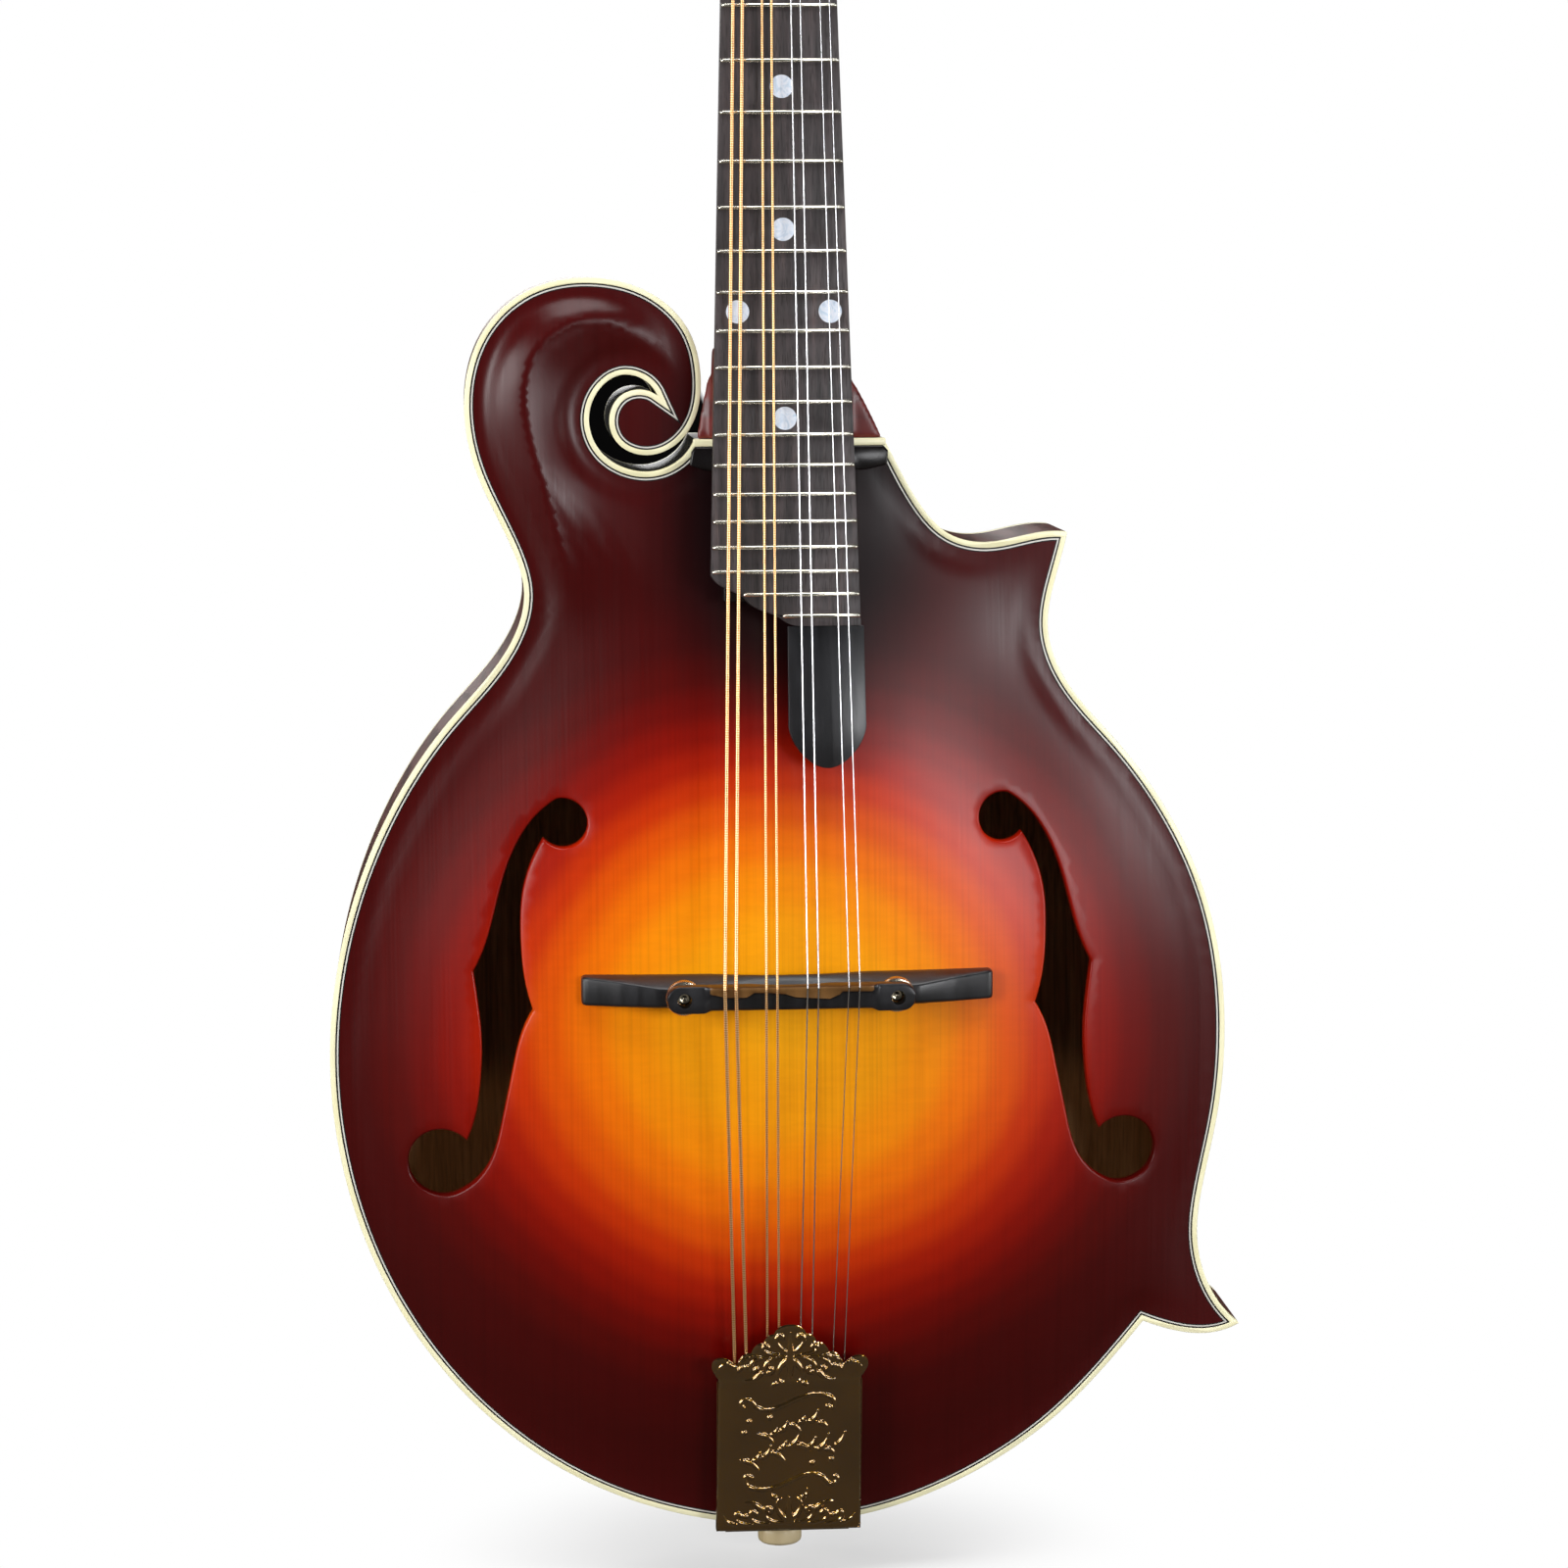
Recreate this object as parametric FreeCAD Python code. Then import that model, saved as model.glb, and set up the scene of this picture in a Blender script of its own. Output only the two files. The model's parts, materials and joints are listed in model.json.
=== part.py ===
"""Scroll-body mandolin with a carved arch top, all lengths in millimetres.

X points to the treble side, Y to the back and Z up the neck. The origin is the middle of the
strap button's head, on the centre line and halfway through the depth of the rim.
"""
import FreeCAD, Part
import math
import os

V = FreeCAD.Vector

# ---- driving dimensions -------------------------------------------------------------------
RIM_DEPTH = 43.0          # front plane to back plane at the edge
EDGE = 4.0                # thickness of both plates at the rim
TOP_ARCH = 15.5
BACK_ARCH = 13.0
PLATE = 4.5               # carved thickness of both plates
RIB = 2.0
BIND = 1.5                # cream binding, then the black and the white line inside it
BLACK_LINE = 0.4
WHITE_LINE = 0.6
LINE_DEPTH = 2.0
LINING = 5.0
LAND = 7.5                # flat rim under the plates, where ribs and lining are glued
LINING_HEIGHT = 7.0
PLATE_END = 319.9         # where the body stops at the neck
SCALE_LENGTH = 352.4
BRIDGE_Z = 171.8
CENTRE = 0.4              # the strings' centre line
NUT_Z = 524.9
NUT_Y = -19.0             # underside of the fingerboard at the nut
BOARD_TILT = 4.38         # degrees that the neck leans back
BOARD = 5.0
NUT_WIDTH = 26.6
NUT_THICK = 4.6
BOARD_TAPER = 0.0562
BOARD_END = 256.3
HEAD_TILT = 14.0
HEAD_THICK = 13.0
OVERLAY = 1.5
CROWN_Y = -55.1           # top of the bridge
TEETH = 15
TUNER_X = 16.5
TUNER_FIRST = 34.0
TUNER_STEP = 23.0
WORM_DROP = 7.7           # post axis to worm axis
FRONT = -RIM_DEPTH / 2
BACK = RIM_DEPTH / 2

# ---- the outline, as runs between its corners, clockwise as seen from the front -------------
SHOULDER = [(28.8, PLATE_END), (33.2, 311.4), (38.8, 301.7), (46.9, 293.2), (57.9, 290.5),
            (69.0, 292.4), (80.2, 293.2)]
TREBLE_SIDE = [(80.2, 293.2), (77.0, 281.0), (74.8, 266.5), (79.3, 252.9), (94.0, 234.9),
               (107.6, 216.5), (117.5, 196.6), (123.4, 175.0), (125.3, 151.7), (123.5, 128.7),
               (119.1, 106.6), (117.8, 93.5), (121.3, 78.6), (130.0, 67.3)]
LOWER_POINT = [(130.0, 67.3), (119.0, 64.6), (110.4, 65.9), (102.4, 68.6)]
BASS_SIDE = [(102.4, 68.6), (93.3, 57.7), (76.8, 41.0), (53.3, 25.4), (27.5, 15.4), (0.0, 12.0),
             (-30.2, 15.9), (-56.1, 25.7), (-79.4, 41.6), (-99.2, 63.1), (-113.5, 87.4),
             (-122.4, 113.7), (-126.3, 147.9), (-122.0, 182.3), (-110.6, 213.7), (-92.1, 242.0),
             (-75.6, 262.0), (-70.7, 277.0), (-74.4, 291.4), (-83.5, 311.6), (-86.5, 331.0),
             (-80.9, 349.8), (-68.1, 361.1), (-51.4, 364.2), (-35.1, 359.9), (-24.8, 349.8),
             (-21.5, 337.0), (-23.5, 324.7), (-29.6, 317.6), (-37.6, 315.6), (-44.6, 319.0),
             (-46.7, 325.4), (-43.6, 331.8), (-39.3, 333.5), (-33.4, 331.8)]
SLOT_SIDE = [(-33.4, 331.8), (-37.4, 336.4), (-43.4, 337.6), (-49.3, 333.8), (-52.3, 325.5),
             (-49.6, 317.2), (-42.4, 312.0), (-33.6, 311.3), (-26.6, 314.9), (-23.3, PLATE_END)]
WAIST = (-72.0, 283.0)    # where the hollow part of the body stops short of the scroll
CREST = [(-56.0, 262.0), (-60.7, 290.2), (-65.4, 308.4), (-69.8, 327.9), (-69.2, 338.7),
         (-65.4, 346.4), (-58.7, 351.1), (-51.3, 352.8), (-41.9, 350.1), (-35.1, 345.4),
         (-31.0, 339.5), (-32.0, 334.0)]
RIDGE = 4.8               # height of the scroll's carved crest
RIDGE_REACH = (-15.0, 255.0)


def run(points):
    """Close samples along a smooth curve through the points, or along a straight line."""
    if len(points) == 2:
        return list(points)
    curve = Part.BSplineCurve()
    curve.interpolate([V(x, 0, z) for x, z in points])
    count = int(curve.length() / 1.2)
    return [(p.x, p.z) for p in curve.toShape().discretize(count)]


def moved_inwards(samples, distance):
    """Samples moved to the right of the direction of travel, which is into the body."""
    out = []
    last = len(samples) - 1
    for i, (x, z) in enumerate(samples):
        ahead = samples[min(i + 1, last)]
        behind = samples[max(i - 1, 0)]
        dx, dz = ahead[0] - behind[0], ahead[1] - behind[1]
        length = math.hypot(dx, dz)
        out.append((x + distance * dz / length, z - distance * dx / length))
    return out


def crossing(a, b, c, d):
    """Where line ab meets line cd, with the share of each, or None if parallel."""
    rx, rz, sx, sz = b[0] - a[0], b[1] - a[1], d[0] - c[0], d[1] - c[1]
    area = rx * sz - rz * sx
    if abs(area) < 1e-9:
        return None
    t = ((c[0] - a[0]) * sz - (c[1] - a[1]) * sx) / area
    u = ((c[0] - a[0]) * rz - (c[1] - a[1]) * rx) / area
    return (a[0] + t * rx, a[1] + t * rz), t, u


def joined(first, second, reach=30):
    """Trim two neighbouring runs at their crossing, or carry both on to a mitre."""
    for i in range(len(first) - 2, max(-1, len(first) - reach), -1):
        for j in range(min(reach, len(second) - 1)):
            hit = crossing(first[i], first[i + 1], second[j], second[j + 1])
            if hit and 0 <= hit[1] <= 1 and 0 <= hit[2] <= 1:
                return first[:i + 1] + [hit[0]], [hit[0]] + second[j + 1:]
    tip = crossing(first[-2], first[-1], second[1], second[0])[0]
    return first + [tip], [tip] + second


def inset(runs, distance):
    """The closed outline moved into the body."""
    if distance == 0:
        return [list(r) for r in runs]
    out = [moved_inwards(r, distance) for r in runs]
    for i in range(len(out)):
        j = (i + 1) % len(out)
        out[i], out[j] = joined(out[i], out[j])
    return out


def thinned(samples):
    """Fewer samples: one for each 7 degrees of turn, or each 14 mm."""
    kept = [samples[0]]
    heading = None
    gone = 0.0
    for i in range(1, len(samples) - 1):
        (x0, z0), (x1, z1), (x2, z2) = samples[i - 1:i + 2]
        way = math.atan2(z1 - z0, x1 - x0)
        heading = way if heading is None else heading
        gone += math.hypot(x1 - x0, z1 - z0)
        turn = abs(math.remainder(math.atan2(z2 - z1, x2 - x1) - heading, 2 * math.pi))
        if (turn > math.radians(7) and gone > 1.0) or gone > 14:
            kept.append(samples[i])
            heading = None
            gone = 0.0
    return kept + [samples[-1]]


def face_of(runs, y):
    """A flat face at depth y inside the runs."""
    edges = []
    for samples in runs:
        points = [V(x, y, z) for x, z in thinned(samples)]
        if len(points) == 2:
            edges.append(Part.LineSegment(points[0], points[1]).toShape())
            continue
        curve = Part.BSplineCurve()
        curve.interpolate(points)
        edges.append(curve.toShape())
    return Part.Face(Part.Wire(edges))


def prism(runs, y0, y1):
    return face_of(runs, y0).extrude(V(0, y1 - y0, 0))


def band(runs, outer, inner, y0, y1):
    """The strip between two insets of an outline."""
    return prism(inset(runs, outer), y0, y1).cut(prism(inset(runs, inner), y0, y1))


def box(x0, x1, y0, y1, z0, z1):
    return Part.makeBox(x1 - x0, y1 - y0, z1 - z0, V(x0, y0, z0))


def polygon_prism(points, y0, y1):
    """A prism along Y on straight-sided (x, z) points."""
    corners = [V(x, y0, z) for x, z in points]
    return Part.Face(Part.makePolygon(corners + corners[:1])).extrude(V(0, y1 - y0, 0))


def rod(radius, start, end):
    way = end - start
    return Part.makeCylinder(radius, way.Length, start, way)


def bass_end(samples):
    """The part of the bass side that runs from the notch up to the waist."""
    for i, (x, z) in enumerate(samples):
        if x < -60 and z > WAIST[1]:
            return samples[:i]
    return samples


OUTLINE = [run(SHOULDER), run(TREBLE_SIDE), run(LOWER_POINT), run(BASS_SIDE), run(SLOT_SIDE),
           [SLOT_SIDE[-1], SHOULDER[0]]]
LOWER_BASS = bass_end(OUTLINE[3])
HOLLOW = OUTLINE[:3] + [LOWER_BASS, [LOWER_BASS[-1], SLOT_SIDE[-1]], OUTLINE[5]]


# ---- the carved arches ----------------------------------------------------------------------
GRID = 6.0
GRID_X0, GRID_Z0, GRID_COLS, GRID_ROWS = -138.0, 0.0, 47, 63


def inside(x, z, loop):
    found = False
    for (x0, z0), (x1, z1) in zip(loop, loop[1:] + loop[:1]):
        if (z0 > z) != (z1 > z) and x < x0 + (z - z0) * (x1 - x0) / (z1 - z0):
            found = not found
    return found


def swell():
    """A sheet blown up over the outline, from 0 at the edge to 1 at its highest."""
    loop = [p for samples in OUTLINE for p in thinned(samples)[:-1]]
    free = [[inside(GRID_X0 + GRID * i, GRID_Z0 + GRID * j, loop) for j in range(GRID_ROWS)]
            for i in range(GRID_COLS)]
    level = [[0.0] * GRID_ROWS for _ in range(GRID_COLS)]
    for _ in range(220):
        for i in range(1, GRID_COLS - 1):
            for j in range(1, GRID_ROWS - 1):
                if free[i][j]:
                    around = level[i - 1][j] + level[i + 1][j] + level[i][j - 1] + level[i][j + 1]
                    level[i][j] += 1.85 * ((around + 1.0) / 4 - level[i][j])
    top = max(max(column) for column in level)
    return [[v / top for v in column] for column in level]


SWELL = swell()


def smooth(t):
    return t * t * (3 - 2 * t)


def ridge_heights():
    """Extra height over the scroll: a crest that winds into the slot and falls off both ways."""
    edge = [p for samples in OUTLINE for p in samples]
    crest = run(CREST)
    heights = [[0.0] * GRID_ROWS for _ in range(GRID_COLS)]
    for i in range(GRID_COLS):
        for j in range(GRID_ROWS):
            x, z = GRID_X0 + GRID * i, GRID_Z0 + GRID * j
            if SWELL[i][j] == 0 or x > RIDGE_REACH[0] or z < RIDGE_REACH[1]:
                continue
            gap, place = min((math.hypot(x - u, z - w), k) for k, (u, w) in enumerate(crest))
            border = min(math.hypot(x - u, z - w) for u, w in edge)
            along = place / (len(crest) - 1)
            rise = smooth(min(1.0, along / 0.4)) * smooth(min(1.0, (1.0 - along) / 0.35))
            share = border / (border + gap)
            near = smooth(min(1.0, max(0.0, (30.0 - gap) / 14.0)))
            heights[i][j] = RIDGE * rise * near * share * share * (2.2 - 1.2 * share)
    return heights


RIDGE_HEIGHTS = ridge_heights()


def arch_face(height, y_edge, sign):
    """The outer face of a plate: sign -1 for the front, +1 for the back."""
    def depth(i, j):
        return y_edge + sign * (height * smooth(SWELL[i][j]) + RIDGE_HEIGHTS[i][j])

    surface = Part.BSplineSurface()
    surface.interpolate([[V(GRID_X0 + GRID * i, depth(i, j), GRID_Z0 + GRID * j)
                          for j in range(GRID_ROWS)] for i in range(GRID_COLS)])
    return surface.toShape()


FRONT_FACE = arch_face(TOP_ARCH, FRONT, -1)
BACK_FACE = arch_face(BACK_ARCH, BACK, 1)
UNDER_FRONT = FRONT_FACE.extrude(V(0, 60, 0))


# ---- body -----------------------------------------------------------------------------------
def f_hole(side):
    """A long f: two eyes joined by a curved slot with a nick on each side."""
    def arc(points):
        return Part.Arc(*[V(side * x, -60, z) for x, z in points]).toShape()

    def curve(points):
        spline = Part.BSplineCurve()
        spline.interpolate([V(side * x, -60, z) for x, z in points])
        return spline.toShape()

    edges = [curve([(66.4, 210.7), (70.0, 203.8), (72.6, 194.0), (73.0, 184.3), (72.4, 174.2),
                    (69.8, 163.2)]),
             curve([(69.8, 163.2), (73.4, 155.5), (75.8, 145.5), (78.6, 132.5), (82.0, 120.5),
                    (90.6, 111.4)]),
             arc([(90.6, 111.4), (105.0, 119.6), (88.6, 126.2)]),
             curve([(88.6, 126.2), (86.0, 134.0), (84.6, 143.5), (84.1, 154.0), (84.9, 164.0),
                    (86.2, 173.9)]),
             curve([(86.2, 173.9), (82.6, 182.0), (79.8, 192.0), (76.4, 203.5), (71.5, 213.2),
                    (62.6, 221.7)]),
             arc([(62.6, 221.7), (54.2, 215.0), (66.4, 210.7)])]
    return Part.Face(Part.Wire(edges)).extrude(V(0, 50, 0))


def make_top():
    plate = prism(inset(OUTLINE, BIND), FRONT - TOP_ARCH - 2, FRONT + EDGE).common(UNDER_FRONT)
    carve = prism(inset(HOLLOW, LAND), FRONT - TOP_ARCH, FRONT + EDGE)
    under = FRONT_FACE.translated(V(0, PLATE, 0)).extrude(V(0, 60, 0))
    plate = plate.cut(carve.common(under))
    for side in (-1, 1):
        plate = plate.cut(f_hole(side))
    lines = band(OUTLINE, BIND, BIND + BLACK_LINE + WHITE_LINE, FRONT - 2, FRONT + LINE_DEPTH)
    return plate.cut(lines).cut(box(-26.3, 31, -40, 0, PLATE_END - 2.0, PLATE_END + 0.5))


def make_back():
    over = BACK_FACE.extrude(V(0, -60, 0))
    plate = prism(inset(OUTLINE, BIND), BACK - EDGE, BACK + BACK_ARCH + 2).common(over)
    carve = prism(inset(HOLLOW, LAND), BACK - EDGE, BACK + BACK_ARCH)
    inner = BACK_FACE.translated(V(0, -PLATE, 0)).extrude(V(0, -60, 0))
    plate = plate.cut(carve.common(inner))
    button = [(-16.0, PLATE_END - BIND), (-15.0, 327.0), (-9.0, 333.5), (0.0, 335.5),
              (9.0, 333.5), (15.0, 327.0), (16.0, PLATE_END - BIND)]
    tab = prism([run(button), [button[-1], button[0]]], BACK - EDGE, BACK)
    return plate.fuse(tab)


def make_edge_lines():
    rim = FRONT + EDGE
    back_band = band(OUTLINE, 0, BIND, BACK - EDGE, BACK)
    back_band = back_band.cut(box(-16, 16, BACK - 9, BACK + 1, PLATE_END - 1.6, PLATE_END + 1))
    front_band = band(OUTLINE, 0, BIND, FRONT, rim)
    across = box(-24, 29.2, FRONT - 1, rim + 1, PLATE_END - 2.0, PLATE_END + 1)
    strip = polygon_prism([(-24.0, PLATE_END - 2.0), (-23.3, PLATE_END), (28.8, PLATE_END),
                           (29.5, PLATE_END - 2.0)], FRONT - 3.5, rim)
    black = band(OUTLINE, BIND, BIND + BLACK_LINE, FRONT, FRONT + LINE_DEPTH)
    white = band(OUTLINE, BIND + BLACK_LINE, BIND + BLACK_LINE + WHITE_LINE, FRONT,
                 FRONT + LINE_DEPTH)
    neck_gap = box(-26, 31, FRONT - 1, FRONT + LINE_DEPTH + 1, 313.4, PLATE_END + 1)
    return {"top_binding": front_band.cut(across).fuse(strip),
            "top_line_black": black.cut(neck_gap),
            "top_line_white": white.cut(neck_gap),
            "back_binding": back_band}


def block_area():
    """Where the scroll and the neck joint are solid inside the ribs."""
    return [(-92.0, 292.0), (-64.0, 292.0), (-42.0, 274.0), (40.0, 274.0), (44.0, 325.0),
            (-10.0, 370.0), (-92.0, 370.0)]


def tenon():
    return polygon_prism([(-11.0, PLATE_END), (-13.5, 300.0), (13.5, 300.0), (11.0, PLATE_END)],
                         -16.0, 16.0)


def make_blocks(button_pin):
    core = prism(inset(OUTLINE, RIB), FRONT + EDGE, BACK - EDGE)
    head = core.common(polygon_prism(block_area(), FRONT, BACK)).cut(tenon())
    tail = core.common(box(-32, 32, FRONT, BACK, 0, 31)).cut(button_pin)
    points = core.common(box(60, 90, FRONT, BACK, 258, 300))
    points = points.common(polygon_prism([(68, 255), (90, 255), (90, 300), (56, 300)],
                                         FRONT, BACK))
    low = core.common(polygon_prism([(101, 60), (135, 60), (135, 92), (113, 92)], FRONT, BACK))
    return head, tail, Part.makeCompound([points, low])


def make_ribs(button_pin):
    ring = band(OUTLINE, 0, RIB, FRONT + EDGE, BACK - EDGE)
    joint = box(-13, 13, -18, 18, PLATE_END - RIB - 1, PLATE_END + 1)
    return ring.cut(joint).cut(button_pin)


def make_lining(y0, y1, blocks):
    strip = band(HOLLOW, RIB, RIB + LINING, y0, y1)
    strip = strip.cut(polygon_prism(block_area(), FRONT, BACK))
    for block in blocks:
        strip = strip.cut(block)
    return strip


def make_tone_bars():
    under = FRONT_FACE.translated(V(0, PLATE, 0)).extrude(V(0, 9, 0))
    bars = []
    for side in (-1, 1):
        plan = [(side * 17, 232), (side * 23, 232), (side * 38, 72), (side * 32, 72)]
        bars.append(polygon_prism(plan, -40, -8).common(under))
    return Part.makeCompound(bars)


# ---- neck -----------------------------------------------------------------------------------
def tilted(shape, pivot, degrees):
    """The shape leant back about the X axis through the pivot."""
    out = shape.copy()
    out.rotate(pivot, V(1, 0, 0), -degrees)
    return out


NUT_POINT = V(0, NUT_Y, NUT_Z)
HEAD_Y = -2.2             # face of the head wood behind the nut, in the neck's own frame
HEAD_FOOT = 4.6           # where the head starts above the nut point


def on_neck(shape):
    """From the neck's own frame (board underside at y = 0, nut at z = 0) to the body's."""
    out = shape.translated(NUT_POINT)
    return tilted(out, NUT_POINT, BOARD_TILT)


def on_head(shape):
    """From the head's own frame (front wood face at y = 0, foot at z = 0) to the body's."""
    pivot = V(0, HEAD_Y, HEAD_FOOT)
    return on_neck(tilted(shape.translated(pivot), pivot, HEAD_TILT))


def board_half(s):
    """Half the board's width at a distance s from the nut."""
    return (NUT_WIDTH + BOARD_TAPER * s) / 2


def fret_place(n):
    return SCALE_LENGTH * (1 - 2 ** (-n / 12))


def d_section(half, depth, z):
    """A rounded neck section with its flat side to the front."""
    left, right = V(-half, 0, z), V(half, 0, z)
    round_side = Part.Arc(right, V(0, depth, z), left).toShape()
    return Part.Wire([Part.LineSegment(left, right).toShape(), round_side])


def heel_section(y, bass, treble, half_top, z_top):
    mid = (PLATE_END + z_top) / 2

    def side(x_foot, x_top):
        curve = Part.BSplineCurve()
        bulge = 0.55 * x_foot + 0.45 * x_top
        curve.interpolate([V(x_foot, y, PLATE_END), V(bulge, y, mid), V(x_top, y, z_top)])
        return curve.toShape()

    foot = Part.LineSegment(V(-bass, y, PLATE_END), V(treble, y, PLATE_END)).toShape()
    top = Part.LineSegment(V(half_top, y, z_top), V(-half_top, y, z_top)).toShape()
    return Part.Wire([foot, side(treble, half_top), top, side(-bass, -half_top)])


def head_points():
    """Right half of the head's outline, from its foot to its crown."""
    sides = [(14.6, 0.0), (16.0, 9.0), (22.5, 20.0), (26.6, 34.0), (28.2, 70.0), (29.6, 104.0),
             (32.5, 121.0)]
    wing = [(32.5, 121.0), (25.0, 121.5), (18.0, 127.0), (13.5, 133.5)]
    crown = [(13.5, 133.5), (9.5, 140.5), (5.0, 146.0), (0.0, 148.0)]
    return [sides, wing, crown]


def head_runs():
    """The head's outline as closed runs, clockwise from the front like the body's."""
    right = [run(points) for points in head_points()]
    left = [[(-x, z) for x, z in samples] for samples in right]
    down = [samples[::-1] for samples in right[::-1]]
    crown = left[2] + down[0][1:]
    return [[right[0][0], left[0][0]], left[0], left[1], crown, down[1], down[2]]


HEAD = head_runs()


def post_places():
    return [(side * TUNER_X, TUNER_FIRST + TUNER_STEP * row) for side in (-1, 1)
            for row in range(4)]


def make_neck():
    heel_z = 206.0
    shaft = Part.makeLoft([d_section(board_half(heel_z), 17.5, -heel_z),
                           d_section(board_half(0), 12.6, 0),
                           d_section(board_half(0) + 0.6, 12.8, 9.0)], True, True)
    neck = on_neck(shaft)
    slab = prism(HEAD, 0, HEAD_THICK)
    for x, z in post_places():
        slab = slab.cut(rod(3.4, V(x, -1, z), V(x, HEAD_THICK + 1, z)))
    pocket = box(-5, 5, -1, 7, 1.0, 19.0)
    neck = neck.fuse(on_head(slab.cut(pocket)))
    heel = Part.makeLoft([heel_section(-23.5, 23.0, 28.6, 19.8, 337.0),
                          heel_section(-4.0, 20.0, 23.0, 14.0, 336.0),
                          heel_section(BACK - EDGE, 15.5, 15.5, 10.0, 332.0)], True, True)
    plinth = Part.makeLoft([heel_section(-36.0, 19.0, 19.0, 18.6, 345.0),
                            heel_section(-14.0, 19.0, 19.0, 18.0, 345.0)], True, True)
    board_side = on_neck(box(-40, 40, -60, 0, -300, 20))
    neck = neck.fuse(heel).fuse(plinth.cut(board_side)).fuse(tenon())
    neck = neck.cut(box(-60, 60, -60, 60, 250, PLATE_END).cut(tenon()))
    rod_space, nut_space = truss_parts()
    return neck.cut(rod_space).cut(nut_space)


def truss_parts():
    channel = on_neck(rod(2.4, V(0, 2.6, -180.0), V(0, 2.6, NUT_THICK + 0.2)))
    nut = on_neck(rod(3.4, V(0, 2.6, NUT_THICK + 0.2), V(0, 2.6, 11.0)))
    return channel, nut


def board_end():
    """The stepped, curved end of the board, from the bass side across to the treble side."""
    first = [(-20.2, 242.2), (-16.4, 245.8), (-12.8, 247.4), (-11.2, 248.4)]
    second = [(-11.2, 248.4), (-8.0, 250.6), (-5.6, 252.2), (-2.6, 253.4), (-1.2, 254.2)]
    third = [(-1.2, 254.2), (0.8, 255.6), (4.0, BOARD_END)]
    return [first, second, third]


def make_fretboard():
    steps = [run([(x, -s) for x, s in part]) for part in board_end()]
    low, high = (board_half(BOARD_END), -BOARD_END), (board_half(0), 0.0)
    runs = steps + [[steps[-1][-1], low], [low, high], [high, (-board_half(0), 0.0)],
                    [(-board_half(0), 0.0), steps[0][0]]]
    board = prism(runs, -BOARD, 0)
    for n in range(1, 23):
        s = fret_place(n)
        board = board.cut(box(-25, 25, -BOARD - 1, -BOARD + 1.4, -s - 0.25, -s + 0.25))
    for x, s in dot_places():
        board = board.cut(rod(3.15, V(x, -BOARD - 1, -s), V(x, -BOARD + 1.2, -s)))
    return on_neck(board)


def dot_places():
    """Markers at frets 3, 5, 7, 10, 12 (a pair) and 15, halfway between their frets."""
    def middle(n):
        return (fret_place(n) + fret_place(n - 1)) / 2
    singles = [(CENTRE, middle(n)) for n in (3, 5, 7, 10, 15)]
    return singles + [(CENTRE - 12.6, middle(12)), (CENTRE + 12.6, middle(12))]


def make_dots():
    dots = [rod(3.15, V(x, -BOARD, -s), V(x, -BOARD + 1.2, -s)) for x, s in dot_places()]
    return on_neck(Part.makeCompound(dots))


def fret_span(n):
    """Left and right ends of a fret; the last two stop short at the stepped end."""
    half = board_half(fret_place(n)) - 0.1
    left = {21: -11.6, 22: -0.9}.get(n, -half)
    return left, half


def make_frets():
    """Each fret is a crown 1.6 wide and 1 high on a thin tang."""
    bars = []
    for n in range(1, 23):
        s = fret_place(n)
        left, right = fret_span(n)
        ends = [V(left, -BOARD, -s - 0.8), V(left, -BOARD - 1.0, -s), V(left, -BOARD, -s + 0.8)]
        crown = Part.Wire([Part.Arc(*ends).toShape(),
                           Part.LineSegment(ends[2], ends[0]).toShape()])
        crown = Part.Face(crown).extrude(V(right - left, 0, 0))
        tang = box(left, right, -BOARD, -BOARD + 1.4, -s - 0.25, -s + 0.25)
        bars.append(crown.fuse(tang))
    return on_neck(Part.makeCompound(bars))


def make_extension():
    """The scooped tongue past the last fret, lower than the board, with a rounded end."""
    start, end, mid, half = 256.3, 295.2, 11.3, 10.6
    nose = [(mid - half, -(end - 13.0)), (mid - 7.6, -(end - 4.6)), (mid, -end),
            (mid + 7.6, -(end - 4.6)), (mid + half, -(end - 13.0))]
    runs = [run(nose), [nose[-1], (mid + half - 0.4, -start)],
            [(mid + half - 0.4, -start), (mid - half, -start)], [(mid - half, -start), nose[0]]]
    return on_neck(prism(runs, -2.8, 0))


def make_riser(board_space):
    """Black block that carries the board over the body, with low ears beside it."""
    block = box(-16.5, 18.5, -45, -10, 276.0, PLATE_END - 2.0).cut(UNDER_FRONT)
    plan = [(-24.8, 312.6), (-24.3, 316.4), (-23.4, PLATE_END - 2.0), (28.6, PLATE_END - 2.0),
            (29.9, 316.4), (29.6, 312.6), (24.0, 311.2), (-20.0, 311.2)]
    ears = polygon_prism(plan, FRONT - 3.5, FRONT + 2).cut(UNDER_FRONT)
    return block.fuse(ears).cut(board_space)


def nut_blank():
    body = box(-board_half(0), board_half(0), -BOARD - 2.4, 0.0, 0.0, NUT_THICK)
    return on_neck(body.fuse(box(-14.0, 14.0, -2.2, 0.0, NUT_THICK - 0.6, NUT_THICK)))


def make_nut(strings):
    return nut_blank().cut(strings)


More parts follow.
